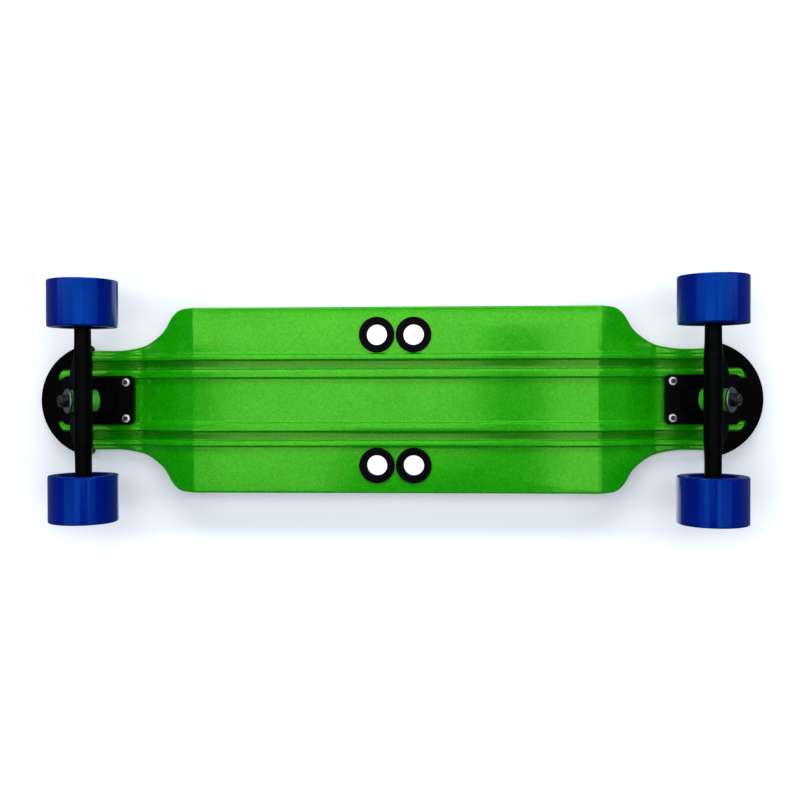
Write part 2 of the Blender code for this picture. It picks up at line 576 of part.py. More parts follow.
bearing_mesh = template(lathe([(AXLE_R + 0.4 * MM, -bh), (BEARING_R - 0.5 * MM, -bh), (BEARING_R, -bh + 0.5 * MM),
                               (BEARING_R, bh - 0.5 * MM), (BEARING_R - 0.5 * MM, bh), (AXLE_R + 0.4 * MM, bh)], 16),
                        "steel", "bearing")

# riser pad fills the channel between the inner ridges, under the inboard part of the baseplate
pad = mesh_object("riser", prism(rounded_rect(BASE_IN + 0.7 * MM, GUARD_X - 0.4 * MM - WHEELBASE_HALF,
                                              INNER_RIDGE[0] - 0.5 * MM, 2 * MM, 2),
                                 BASE_FACE + GAP, BASE_FACE + RIDGE_H))
for side in (1, -1):
    cut(pad, cylinder(2.8 * MM, 40 * MM, 80 * MM, 12), Matrix.Translation((BOLT_IN, side * BOLT_Y, 0)))
pad_mesh = template_of(pad, "black_rubber")


# ------------------------------------------------------------------ assembly
def axis_euler(axis):
    return frame_to(axis).to_euler()


for end, turn in (("front", 0.0), ("rear", pi)):
    s = 1 if end == "front" else -1
    truck = empty(end + "_truck", (s * WHEELBASE_HALF, 0, WHEEL_R), turn)
    copy_of(base_mesh, end + "_baseplate", "truck_paint", truck)
    copy_of(pad_mesh, end + "_riser_pad", "black_rubber", truck)
    copy_of(cup_mesh, end + "_pivot_cup", "cup_plastic", truck, PIVOT, axis_euler(PIVOT_DIR))
    for me, nm, mat in ((kingpin_mesh, "_kingpin", "black_steel"), (bush_b_mesh, "_bushing_board", "bushing_urethane"),
                        (bush_r_mesh, "_bushing_road", "bushing_urethane"), (washer_mesh, "_cup_washer", "steel"),
                        (king_nut_mesh, "_kingpin_nut", "steel")):
        copy_of(me, end + nm, mat, truck, RING_C, axis_euler(KING))
    i = 0
    for bx in (BOLT_IN, BOLT_IN + BOLT_SPACING):
        for side in (1, -1):
            i += 1
            copy_of(bolt_mesh, "%s_bolt_%d" % (end, i), "black_steel", truck,
                    (bx, side * BOLT_Y, GRIP_TOP - 0.2 * MM - WHEEL_R))
            copy_of(bolt_nut_mesh, "%s_bolt_nut_%d" % (end, i), "steel", truck,
                    (bx, side * BOLT_Y, BASE_LO - GAP), (pi, 0, 0))

    # everything on the hanger turns about the line from the ring centre to the pivot tip
    steer = empty(end + "_steering_axis", RING_C, parent=truck)
    copy_of(hanger_mesh, end + "_hanger", "truck_paint", steer)
    copy_of(axle_mesh, end + "_axle", "steel", steer, -RING_C, axis_euler((0, 1, 0)))
    for hand, side in (("left", 1), ("right", -1)):
        local = side * s            # the rear truck is turned round, so its left is the other way
        out = Vector((0, local, 0))
        centre = Vector((0, local * WHEEL_Y, 0)) - RING_C
        tag = "%s_%s" % (end, hand)
        hub = empty(tag + "_spin_axis", centre, parent=steer)
        copy_of(wheel_mesh, tag + "_wheel", "wheel_urethane", hub, (0, 0, 0), axis_euler(out))
        copy_of(bearing_mesh, tag + "_bearing_inner", "steel", hub, out * b_in, axis_euler(out))
        copy_of(bearing_mesh, tag + "_bearing_outer", "steel", hub, out * b_out, axis_euler(out))
        copy_of(axle_nut_mesh, tag + "_axle_nut", "steel", steer,
                out * (BEARING_OUT_Y + bh + 1.5 * MM) - RING_C, axis_euler(out))

bpy.context.view_layer.update()
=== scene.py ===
"""Looks of the drop-deck longboard: finished meshes, materials, soft studio light, camera from underneath."""

from math import sin, cos, pi, sqrt, acos, atan2, radians

import bmesh
import bpy
import numpy as np
from mathutils import Vector, Matrix


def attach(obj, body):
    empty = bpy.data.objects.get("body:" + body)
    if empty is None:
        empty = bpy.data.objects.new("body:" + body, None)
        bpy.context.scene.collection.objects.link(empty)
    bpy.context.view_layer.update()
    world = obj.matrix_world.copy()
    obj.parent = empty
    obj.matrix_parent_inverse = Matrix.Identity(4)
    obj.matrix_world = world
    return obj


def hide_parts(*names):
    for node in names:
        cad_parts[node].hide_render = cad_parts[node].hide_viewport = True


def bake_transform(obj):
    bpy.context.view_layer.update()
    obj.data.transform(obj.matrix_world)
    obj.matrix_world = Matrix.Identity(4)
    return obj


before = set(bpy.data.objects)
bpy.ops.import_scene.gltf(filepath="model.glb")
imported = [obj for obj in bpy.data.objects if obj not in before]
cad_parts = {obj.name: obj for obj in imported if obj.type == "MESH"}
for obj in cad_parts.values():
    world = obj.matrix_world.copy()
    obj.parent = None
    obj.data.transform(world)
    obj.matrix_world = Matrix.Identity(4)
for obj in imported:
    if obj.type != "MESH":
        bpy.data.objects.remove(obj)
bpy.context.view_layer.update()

MM = 0.001
GAP = 0.3 * MM
SCENE = bpy.context.scene

# ---- sizes shared with the CAD model
WHEEL_R = 37.5 * MM
WHEEL_HALF = 25.5 * MM
WHEEL_Y = 106.0 * MM
WHEELBASE_HALF = 339.4 * MM
AXLE_R = 4.0 * MM
AXLE_HALF = 126.0 * MM
HANGER_HALF = 90.0 * MM
BEARING_R = 11.0 * MM
BEARING_W = 7.0 * MM
BEARING_IN_Y = 94.9 * MM
BEARING_OUT_Y = 111.9 * MM
BASE_FACE = 60.0 * MM
BASE_T = 6.5 * MM
BASE_IN = -38.1 * MM
BASE_OUT = 44.6 * MM
BASE_HALF_W = 28.0 * MM
BASE_CORNER = 6.0 * MM
BOLT_IN = -30.4 * MM
BOLT_SPACING = 53.98 * MM
BOLT_Y = 20.64 * MM
RING_C = Vector((12.4, 0, 30.5)) * MM
KING_TILT = radians(50)
KING = Vector((sin(KING_TILT), 0, -cos(KING_TILT)))
SEAT = Vector((cos(KING_TILT), 0, sin(KING_TILT)))
PIVOT_DIST = 25.5 * MM
PIVOT_DIR = Vector((0.687, 0, 0.7267)).normalized()
RING_R = 15.0 * MM
BUSH_R = 12.2 * MM
KINGPIN_R = 4.75 * MM
PLATE_T = 6.5 * MM
RIDGE_H = 5.0 * MM
NECK_Z = WHEEL_R + BASE_FACE + GAP + RIDGE_H
DROP = 25.0 * MM
RAMP_NECK_X = 291.0 * MM
RAMP_PLAT_X = 227.0 * MM
RAMP_BLEND = 14.0 * MM
PLAT_BLEND = 5.0 * MM
NOSE_CX = 346.0 * MM
NOSE_R = 57.5 * MM
INNER_RIDGE = (25.1 * MM, 35.0 * MM)
OUTER_RIDGE = (45.2 * MM, 51.6 * MM)
RIDGE_END_R = 53.0 * MM
GRIP_T = 0.8 * MM
SHOULDER = [(346.0, 57.5), (322.0, 57.2), (304.0, 59.4), (291.0, 62.8), (279.0, 69.1),
            (266.0, 79.5), (256.0, 94.5), (246.0, 102.4), (232.0, 104.4), (210.0, 104.5)]
GROMMET_X = 20.6 * MM
GROMMET_Y = 73.1 * MM
GROMMET_HOLE = 11.4 * MM
GROMMET_R = 19.9 * MM
GROMMET_BARREL = 13.1 * MM
GUARD_R = 65.5 * MM
GUARD_X = 353.0 * MM
GUARD_LIP_R = 52.5 * MM
NECK_TOP = NECK_Z + PLATE_T
GRIP_TOP = NECK_TOP + GAP + GRIP_T
PLAT_LO = NECK_Z - DROP
BASE_LO = BASE_FACE - BASE_T
PIVOT = RING_C + PIVOT_DIR * PIVOT_DIST
SEAT_T = 16.6 * MM


# ================================================================== materials
def nodes_of(name):
    m = bpy.data.materials.new(name)
    m.use_nodes = True
    nt = m.node_tree
    b = nt.nodes["Principled BSDF"]
    co = nt.nodes.new("ShaderNodeTexCoord")
    return m, nt, b, co.outputs["Object"]


def noise(nt, vec, scale, detail=3.0, rough=0.5, stretch=None):
    if stretch:
        mp = nt.nodes.new("ShaderNodeMapping")
        mp.inputs["Scale"].default_value = stretch
        nt.links.new(vec, mp.inputs["Vector"])
        vec = mp.outputs["Vector"]
    n = nt.nodes.new("ShaderNodeTexNoise")
    n.inputs["Scale"].default_value = scale
    n.inputs["Detail"].default_value = detail
    n.inputs["Roughness"].default_value = rough
    nt.links.new(vec, n.inputs["Vector"])
    return n.outputs["Fac"]


def cells(nt, vec, scale, feature="F1"):
    v = nt.nodes.new("ShaderNodeTexVoronoi")
    v.feature = feature
    v.inputs["Scale"].default_value = scale
    nt.links.new(vec, v.inputs["Vector"])
    return v


def ramp(nt, fac, stops):
    r = nt.nodes.new("ShaderNodeValToRGB")
    r.color_ramp.elements[0].position = stops[0][0]
    r.color_ramp.elements[0].color = stops[0][1]
    r.color_ramp.elements[1].position = stops[-1][0]
    r.color_ramp.elements[1].color = stops[-1][1]
    for p, c in stops[1:-1]:
        e = r.color_ramp.elements.new(p)
        e.color = c
    nt.links.new(fac, r.inputs["Fac"])
    return r.outputs["Color"]


def remap(nt, fac, lo, hi, out_lo, out_hi):
    r = nt.nodes.new("ShaderNodeMapRange")
    r.inputs["From Min"].default_value = lo
    r.inputs["From Max"].default_value = hi
    r.inputs["To Min"].default_value = out_lo
    r.inputs["To Max"].default_value = out_hi
    nt.links.new(fac, r.inputs["Value"])
    return r.outputs["Result"]


def mix(nt, fac, a, b, blend="MIX"):
    m = nt.nodes.new("ShaderNodeMix")
    m.data_type = "RGBA"
    m.blend_type = blend
    for sock, val in ((m.inputs["Factor"], fac), (m.inputs[6], a), (m.inputs[7], b)):
        if isinstance(val, (int, float)):
            sock.default_value = val
        elif isinstance(val, (tuple, list)):
            sock.default_value = (val[0], val[1], val[2], 1)
        else:
            nt.links.new(val, sock)
    return m.outputs[2]


def bump(nt, height, strength, dist, normal=None):
    b = nt.nodes.new("ShaderNodeBump")
    b.inputs["Strength"].default_value = strength
    b.inputs["Distance"].default_value = dist
    nt.links.new(height, b.inputs["Height"])
    if normal is not None:
        nt.links.new(normal, b.inputs["Normal"])
    return b.outputs["Normal"]


def rgb(c):
    return (c[0], c[1], c[2], 1.0)


def flake_paint():
    m, nt, b, co = nodes_of("deck_green_flake")
    flake = cells(nt, co, 1500)
    fine = cells(nt, co, 700)
    sp = nt.nodes.new("ShaderNodeSeparateColor")
    nt.links.new(flake.outputs["Color"], sp.inputs["Color"])
    sp2 = nt.nodes.new("ShaderNodeSeparateColor")
    nt.links.new(fine.outputs["Color"], sp2.inputs["Color"])
    cloud = noise(nt, co, 18, 3, 0.55)
    base = ramp(nt, cloud, [(0.3, rgb((0.008, 0.385, 0.0010))), (0.7, rgb((0.012, 0.435, 0.0016)))])
    spark = ramp(nt, sp.outputs["Red"], [(0.0, rgb((0.70, 0.74, 0.70))), (0.6, rgb((1, 1, 1))), (0.93, rgb((1.12, 1.12, 1.1))),
                                         (1.0, rgb((2.4, 1.5, 2.0)))])
    c1 = mix(nt, 1.0, base, spark, "MULTIPLY")
    spark2 = ramp(nt, sp2.outputs["Green"], [(0.0, rgb((0.84, 0.88, 0.84))), (1.0, rgb((1.14, 1.1, 1.14)))])
    c2 = mix(nt, 1.0, c1, spark2, "MULTIPLY")
    # painted shade: the channel between the inner and outer ridges (|y| about 35-46 mm) is darkened to 0.6 in the base
    # colour
    sx = nt.nodes.new("ShaderNodeSeparateXYZ")
    nt.links.new(co, sx.inputs["Vector"])
    ay = nt.nodes.new("ShaderNodeMath")
    ay.operation = "ABSOLUTE"
    nt.links.new(sx.outputs["Y"], ay.inputs[0])
    groove_painted_shade = ramp(nt, remap(nt, ay.outputs[0], 0.033, 0.048, 0.0, 1.0),
                  [(0.12, rgb((1, 1, 1))), (0.16, rgb((0.60, 0.60, 0.60))), (0.78, rgb((0.60, 0.60, 0.60))), (0.82, rgb((1, 1, 1)))])
    c2 = mix(nt, 1.0, c2, groove_painted_shade, "MULTIPLY")
    nt.links.new(c2, b.inputs["Base Color"])
    b.inputs["Metallic"].default_value = 0.12
    r = remap(nt, noise(nt, co, 45, 4, 0.6), 0.3, 0.7, 0.115, 0.165)
    nt.links.new(r, b.inputs["Roughness"])
    b.inputs["IOR"].default_value = 1.5
    b.inputs["Specular IOR Level"].default_value = 0.75
    b.inputs["Specular Tint"].default_value = (0.62, 0.85, 0.22, 1)
    b.inputs["Coat Weight"].default_value = 0.04
    b.inputs["Coat Roughness"].default_value = 0.06
    b.inputs["Coat IOR"].default_value = 1.45
    n1 = bump(nt, sp.outputs["Blue"], 0.10, 0.00010)
    n2 = bump(nt, noise(nt, co, 260, 2, 0.5), 0.10, 0.00025, n1)
    nt.links.new(n2, b.inputs["Normal"])
    return m


def grit():
    m, nt, b, co = nodes_of("grip_grit")
    g = cells(nt, co, 1500)
    g2 = cells(nt, co, 2600)
    sp = nt.nodes.new("ShaderNodeSeparateColor")
    nt.links.new(g.outputs["Color"], sp.inputs["Color"])
    base = ramp(nt, sp.outputs["Red"], [(0.0, rgb((0.004, 0.004, 0.0045))), (0.75, rgb((0.014, 0.014, 0.015))),
                                        (0.95, rgb((0.05, 0.05, 0.052))), (1.0, rgb((0.16, 0.16, 0.17)))])
    dust = noise(nt, co, 7, 5, 0.65)
    c = mix(nt, remap(nt, dust, 0.52, 0.8, 0.0, 0.35), base, (0.05, 0.047, 0.043))
    nt.links.new(c, b.inputs["Base Color"])
    r = remap(nt, sp.outputs["Green"], 0, 1, 0.62, 0.98)
    nt.links.new(r, b.inputs["Roughness"])
    n1 = bump(nt, g.outputs["Distance"], 0.9, 0.0005)
    n2 = bump(nt, g2.outputs["Distance"], 0.5, 0.0003, n1)
    nt.links.new(n2, b.inputs["Normal"])
    return m


def moulded(name, lo, hi, rough, grain=1200, grain_d=0.00006, ior=1.5, scuff=0.15, scuff_col=(0.05, 0.05, 0.055),
            spec=0.5):
    """Moulded rubber or plastic: fine leathery grain, uneven sheen, faint scuffs."""
    m, nt, b, co = nodes_of(name)
    cloud = noise(nt, co, 35, 4, 0.6)
    base = ramp(nt, cloud, [(0.3, rgb(lo)), (0.72, rgb(hi))])
    marks = noise(nt, co, 90, 6, 0.72, (1.0, 4.0, 1.0))
    c = mix(nt, remap(nt, marks, 0.62, 0.78, 0.0, scuff), base, scuff_col)
    nt.links.new(c, b.inputs["Base Color"])
    nt.links.new(remap(nt, noise(nt, co, 60, 5, 0.65), 0.3, 0.72, rough[0], rough[1]), b.inputs["Roughness"])
    b.inputs["IOR"].default_value = ior
    b.inputs["Specular IOR Level"].default_value = spec
    n1 = bump(nt, cells(nt, co, grain).outputs["Distance"], 0.35, grain_d)
    n2 = bump(nt, noise(nt, co, 150, 3, 0.6), 0.12, 0.0002, n1)
    nt.links.new(n2, b.inputs["Normal"])
    return m


def powder_coat():
    m, nt, b, co = nodes_of("truck_powder_coat")
    cloud = noise(nt, co, 28, 4, 0.6)
    base = ramp(nt, cloud, [(0.3, rgb((0.0007, 0.0007, 0.0008))), (0.7, rgb((0.0014, 0.0014, 0.0015)))])
    # lighter grey on sharp edges (high Pointiness), broken into patches by noise
    geo = nt.nodes.new("ShaderNodeNewGeometry")
    edge = remap(nt, geo.outputs["Pointiness"], 0.53, 0.60, 0.0, 1.0)
    edge_patches = remap(nt, noise(nt, co, 220, 6, 0.7), 0.50, 0.62, 0.0, 1.0)
    w = nt.nodes.new("ShaderNodeMath")
    w.operation = "MULTIPLY"
    nt.links.new(edge, w.inputs[0])
    nt.links.new(edge_patches, w.inputs[1])
    c = mix(nt, w.outputs[0], base, (0.022, 0.022, 0.024))
    nt.links.new(c, b.inputs["Base Color"])
    nt.links.new(remap(nt, noise(nt, co, 70, 5, 0.62), 0.3, 0.72, 0.30, 0.44), b.inputs["Roughness"])
    b.inputs["IOR"].default_value = 1.45
    b.inputs["Specular IOR Level"].default_value = 0.035
    n1 = bump(nt, noise(nt, co, 900, 2, 0.5), 0.20, 0.00010)
    n2 = bump(nt, noise(nt, co, 210, 3, 0.55), 0.22, 0.00030, n1)
    nt.links.new(n2, b.inputs["Normal"])
    return m


def urethane(name, lo, hi, rough, turned=0.0, dust=0.06, dust_col=(0.2, 0.25, 0.4), sss=0.0, sss_rad=(0.1, 0.2, 1.0),
             ior=1.5, tint=None, spec=0.5):
    """Cast urethane: soft cloudy colour, fine flow marks, optional lathe-turned tread lines along local Y."""
    m, nt, b, co = nodes_of(name)
    cloud = noise(nt, co, 30, 4, 0.6)
    base = ramp(nt, cloud, [(0.25, rgb(lo)), (0.75, rgb(hi))])
    grime = noise(nt, co, 120, 6, 0.7)
    c = mix(nt, remap(nt, grime, 0.60, 0.80, 0.0, dust), base, dust_col)
    nt.links.new(c, b.inputs["Base Color"])
    nt.links.new(remap(nt, noise(nt, co, 55, 5, 0.6), 0.3, 0.72, rough[0], rough[1]), b.inputs["Roughness"])
    b.inputs["IOR"].default_value = ior
    b.inputs["Specular IOR Level"].default_value = spec
    if tint:
        b.inputs["Specular Tint"].default_value = (tint[0], tint[1], tint[2], 1)
    if sss:
        b.inputs["Subsurface Weight"].default_value = sss
        b.inputs["Subsurface Radius"].default_value = sss_rad
        b.inputs["Subsurface Scale"].default_value = 0.003
    n = bump(nt, noise(nt, co, 500, 3, 0.55), 0.10, 0.00008)
    if turned:
        sx = nt.nodes.new("ShaderNodeSeparateXYZ")
        nt.links.new(co, sx.inputs["Vector"])
        ln = nt.nodes.new("ShaderNodeMath")
        ln.operation = "MULTIPLY"
        ln.inputs[1].default_value = 2 * pi / (0.55 * MM)
        nt.links.new(sx.outputs["Y"], ln.inputs[0])
        sn = nt.nodes.new("ShaderNodeMath")
        sn.operation = "SINE"
        nt.links.new(ln.outputs[0], sn.inputs[0])
        n = bump(nt, sn.outputs[0], turned, 0.00003, n)
    nt.links.new(n, b.inputs["Normal"])
    return m


def metal(name, lo, hi, rough, scratch=(1.0, 1.0, 1.0), spots=0.25, spot_col=(0.25, 0.24, 0.22), metallic=1.0):
    """Plated steel: drifting tint, fine scratches in roughness and bump, small dull spots."""
    m, nt, b, co = nodes_of(name)
    cloud = noise(nt, co, 90, 4, 0.6)
    base = ramp(nt, cloud, [(0.3, rgb(lo)), (0.7, rgb(hi))])
    sp = noise(nt, co, 420, 5, 0.7)
    c = mix(nt, remap(nt, sp, 0.58, 0.75, 0.0, spots), base, spot_col)
    nt.links.new(c, b.inputs["Base Color"])
    b.inputs["Metallic"].default_value = metallic
    sc = noise(nt, co, 600, 5, 0.7, scratch)
    nt.links.new(remap(nt, sc, 0.3, 0.72, rough[0], rough[1]), b.inputs["Roughness"])
    nt.links.new(bump(nt, sc, 0.18, 0.00005), b.inputs["Normal"])
    return m


MAT = {
    "paint": flake_paint(),
    "grip": grit(),
    "guard": moulded("guard_rubber", (0.0005, 0.0006, 0.0006), (0.0012, 0.0013, 0.0013), (0.40, 0.58), ior=1.45,
                     scuff_col=(0.004, 0.004, 0.0045), spec=0.02),
    "grommet": moulded("grommet_rubber", (0.0014, 0.0006, 0.0016), (0.0028, 0.0012, 0.0032), (0.36, 0.52), ior=1.45,
                       scuff_col=(0.006, 0.004, 0.007), spec=0.04),
    "pad": moulded("riser_rubber", (0.006, 0.006, 0.006), (0.013, 0.013, 0.013), (0.6, 0.8)),
    "cup": moulded("pivot_cup_plastic", (0.015, 0.015, 0.016), (0.03, 0.03, 0.032), (0.4, 0.55)),
    "truck": powder_coat(),
    "wheel": urethane("wheel_blue_urethane", (0.0, 0.0045, 0.175), (0.0, 0.0080, 0.225), (0.12, 0.18), turned=0.22,
                      dust_col=(0.002, 0.03, 0.24), ior=1.5, tint=(0.02, 0.28, 1.0), spec=0.85),
    # tyre side faces: the same urethane with a darker blue base colour, which is painted shade, and a rougher,
    # low-gloss finish
    "wheel_side_shaded": urethane("wheel_side_urethane", (0.0, 0.0030, 0.090), (0.0, 0.0050, 0.125), (0.45, 0.60), turned=0.0,
                           dust_col=(0.002, 0.02, 0.15), ior=1.45, tint=(0.05, 0.35, 1.0), spec=0.10),
    "core": moulded("wheel_core_blue", (0.0, 0.003, 0.05), (0.0, 0.006, 0.075), (0.34, 0.48), grain=900, scuff=0.1,
                    scuff_col=(0.005, 0.03, 0.15), spec=0.25),
    "bush_board": urethane("bushing_green_urethane", (0.034, 0.45, 0.008), (0.062, 0.60, 0.019), (0.26, 0.40),
                           dust=0.15, dust_col=(0.10, 0.32, 0.05), sss=0.25, sss_rad=(0.2, 1.0, 0.1)),
    "steel": metal("zinc_plated_steel", (0.60, 0.60, 0.62), (0.76, 0.76, 0.78), (0.22, 0.42)),
    "washer": metal("cup_washer_steel", (0.20, 0.20, 0.205), (0.30, 0.30, 0.31), (0.26, 0.44), spot_col=(0.10, 0.10, 0.10)),
    "dark_steel": metal("dulled_nut_steel", (0.040, 0.040, 0.043), (0.075, 0.075, 0.079), (0.28, 0.46), spot_col=(0.022, 0.022, 0.022)),
    "axle": metal("axle_steel", (0.42, 0.42, 0.43), (0.56, 0.56, 0.57), (0.24, 0.40), (1.0, 0.15, 1.0)),
    "black_steel": metal("black_oxide_steel", (0.028, 0.027, 0.026), (0.055, 0.052, 0.050), (0.30, 0.50), metallic=0.9,
                         spot_col=(0.12, 0.10, 0.09)),
    "shield": moulded("bearing_shield", (0.010, 0.010, 0.011), (0.022, 0.022, 0.024), (0.36, 0.50), grain=2500),
    "nylon": moulded("nylon_collar", (0.55, 0.55, 0.52), (0.68, 0.68, 0.64), (0.35, 0.5), grain=2500, scuff=0.3,
                     scuff_col=(0.3, 0.29, 0.27)),
}


# ================================================================== mesh helpers
def to_object(name, bm, mat=None, matrix=None, angle=32, recalc=True):
    if matrix is not None:
        bm.transform(matrix)
        if matrix.to_3x3().determinant() < 0:
            bmesh.ops.reverse_faces(bm, faces=bm.faces)
    if recalc:
        bmesh.ops.recalc_face_normals(bm, faces=bm.faces)
    me = bpy.data.meshes.new(name)
    bm.to_mesh(me)
    bm.free()
    ob = bpy.data.objects.new(name, me)
    SCENE.collection.objects.link(ob)
    if mat:
        me.materials.append(MAT[mat])
    shade(ob, angle)
    return ob


def shade(ob, angle=32):
    ob.data.shade_smooth()
    ob.data.set_sharp_from_angle(angle=radians(angle))


def frame_to(axis, origin=(0, 0, 0)):
    z = Vector(axis).normalized()
    y = Vector((0, 1, 0)) if abs(z.y) < 0.9 else Vector((1, 0, 0))
    x = y.cross(z).normalized()
    y = z.cross(x).normalized()
    m = Matrix((x, y, z)).transposed().to_4x4()
    m.translation = Vector(origin)
    return m


def along_king(t):
    return frame_to(KING, RING_C + KING * t)


def fillet(pts, r, n=4, closed=True):
    """Rounds the corners of a 2-D line. r is one radius or one for each point."""
    out = []
    k = len(pts)
    rr = list(r) if isinstance(r, (list, tuple)) else [r] * k
    for i, p in enumerate(pts):
        if (not closed and i in (0, k - 1)) or rr[i] <= 0:
            out.append((p[0], p[1]))
            continue
        a, b, c = Vector(pts[i - 1]), Vector(p), Vector(pts[(i + 1) % k])
        u, v = (a - b), (c - b)
        lu, lv = u.length, v.length
        if lu < 1e-9 or lv < 1e-9:
            out.append((p[0], p[1]))
            continue
        u /= lu
        v /= lv
        ang = u.angle(v)
        if ang > pi - 0.02:
            out.append((p[0], p[1]))
            continue
        t = min(rr[i] / max(1e-9, (sin(ang / 2) / cos(ang / 2))), 0.48 * lu, 0.48 * lv)
        rad = t * sin(ang / 2) / cos(ang / 2)
        centre = b + (u + v).normalized() * (rad / sin(ang / 2))
        s, e = b + u * t, b + v * t
        a0 = atan2(s.y - centre.y, s.x - centre.x)
        a1 = atan2(e.y - centre.y, e.x - centre.x)
        d = (a1 - a0 + pi) % (2 * pi) - pi
        for j in range(n + 1):
            q = a0 + d * j / n
            out.append((centre.x + rad * cos(q), centre.y + rad * sin(q)))
    return out


def lathe(profile, segs=64, phase=0.0):
    """Turns an (r, z) line about Z. A line off the axis is closed on itself; points on the axis become poles."""
    bm = bmesh.new()
    rows = []
    for r, z in profile:
        if r < 1e-7:
            rows.append([bm.verts.new((0, 0, z))])
        else:
            rows.append([bm.verts.new((r * cos(phase + 2 * pi * i / segs), r * sin(phase + 2 * pi * i / segs), z))
                         for i in range(segs)])
    pairs = list(zip(rows, rows[1:]))
    if len(rows[0]) > 1 and len(rows[-1]) > 1:
        pairs.append((rows[-1], rows[0]))
    for a, b in pairs:
        for i in range(segs):
            j = (i + 1) % segs
            if len(a) == 1 and len(b) == 1:
                continue
            if len(a) == 1:
                bm.faces.new((a[0], b[i], b[j]))
            elif len(b) == 1:
                bm.faces.new((a[i], a[j], b[0]))
            else:
                bm.faces.new((a[i], a[j], b[j], b[i]))
    return bm


def prism(points, z0, z1):
    bm = bmesh.new()
    lo = [bm.verts.new((x, y, z0)) for x, y in points]
    hi = [bm.verts.new((x, y, z1)) for x, y in points]
    bm.faces.new(list(reversed(lo)))
    bm.faces.new(hi)
    n = len(points)
    for i in range(n):
        bm.faces.new((lo[i], lo[(i + 1) % n], hi[(i + 1) % n], hi[i]))
    return bm


def inset_line(pts, d):
    """Moves a closed counter-clockwise line inwards by d."""
    n = len(pts)
    out = []
    for i in range(n):
        a, b, c = Vector(pts[i - 1]), Vector(pts[i]), Vector(pts[(i + 1) % n])
        e1, e2 = (b - a).normalized(), (c - b).normalized()
        n1, n2 = Vector((-e1.y, e1.x)), Vector((-e2.y, e2.x))
        m = n1 + n2
        if m.length < 1e-9:
            m = n1
        m.normalize()
        k = max(0.5, m.dot(n1))
        out.append((b.x + m.x * d / k, b.y + m.y * d / k))
    return out


def soft_prism(points, z0, z1, r0, r1, n=4):
    """A plate with rounded bottom (r0) and top (r1) edges."""
    bm = bmesh.new()
    levels = [(r0 * (1 - sin(pi / 2 * i / n)), z0 + r0 * (1 - cos(pi / 2 * i / n))) for i in range(n + 1)]
    levels += [(r1 * (1 - cos(pi / 2 * i / n)), z1 - r1 * (1 - sin(pi / 2 * i / n))) for i in range(n + 1)]
    rows = []
    for d, z in levels:
        line = inset_line(points, d) if d > 1e-9 else points
        rows.append([bm.verts.new((x, y, z)) for x, y in line])
    k = len(points)
    for a, b in zip(rows, rows[1:]):
        for i in range(k):
            bm.faces.new((a[i], a[(i + 1) % k], b[(i + 1) % k], b[i]))
    bm.faces.new(list(reversed(rows[0])))
    bm.faces.new(rows[-1])
    return bm


def hull(points):
    bm = bmesh.new()
    for p in points:
        bm.verts.new(p)
    res = bmesh.ops.convex_hull(bm, input=bm.verts)
    bmesh.ops.delete(bm, geom=[g for g in res["geom_interior"] if isinstance(g, bmesh.types.BMVert)], context="VERTS")
    return bm


def cylinder(r, z0, z1, segs=48):
    return prism([(r * cos(2 * pi * i / segs), r * sin(2 * pi * i / segs)) for i in range(segs)], z0, z1)


def evaluated(ob):
    """Applies every modifier on the object."""
    dg = bpy.context.evaluated_depsgraph_get()
    me = bpy.data.meshes.new_from_object(ob.evaluated_get(dg), depsgraph=dg)
    old = ob.data
    ob.modifiers.clear()
    ob.data = me
    bpy.data.meshes.remove(old)
    return ob


def boolean(target, cutter, op="DIFFERENCE"):
    md = target.modifiers.new("b", "BOOLEAN")
    md.operation = op
    md.solver = "EXACT"
    md.object = cutter
    bpy.context.view_layer.update()
    evaluated(target)
    bpy.data.objects.remove(cutter, do_unlink=True)
    return target


def cut(target, bm, matrix=None):
    return boolean(target, to_object("cutter", bm, None, matrix), "DIFFERENCE")


def cut_many(target, parts):
    """Cuts several separate solids at once."""
    allb = bmesh.new()
    for bm, matrix in parts:
        if matrix is not None:
            bm.transform(matrix)
        bmesh.ops.recalc_face_normals(bm, faces=bm.faces)
        me = bpy.data.meshes.new("t")
        bm.to_mesh(me)
        bm.free()
        allb.from_mesh(me)
        bpy.data.meshes.remove(me)
    return boolean(target, to_object("cutter", allb), "DIFFERENCE")


def join(target, bm, matrix=None):
    return boolean(target, to_object("add", bm, None, matrix), "UNION")


def keep(target, bm, matrix=None):
    return boolean(target, to_object("keep", bm, None, matrix), "INTERSECT")


def bevel(ob, width, segs=3, angle=50):
    md = ob.modifiers.new("bevel", "BEVEL")
    md.width = width
    md.segments = segs
    md.limit_method = "ANGLE"
    md.angle_limit = radians(angle)
    md.use_clamp_overlap = True
    md.loop_slide = True
    bpy.context.view_layer.update()
    evaluated(ob)
    return ob


def cast(ob, voxel, rounds=6):
    """Remeshes a rough union into one skin and softens its edges, as a casting has them."""
    md = ob.modifiers.new("r", "REMESH")
    md.mode = "VOXEL"
    md.voxel_size = voxel
    md.use_smooth_shade = True
    sm = ob.modifiers.new("s", "SMOOTH")
    sm.factor = 0.5
    sm.iterations = rounds
    bpy.context.view_layer.update()
    evaluated(ob)
    return ob


def with_mat(ob, mat, angle=32):
    ob.data.materials.clear()
    ob.data.materials.append(MAT[mat])
    for p in ob.data.polygons:
        p.material_index = 0
    shade(ob, angle)
    return ob


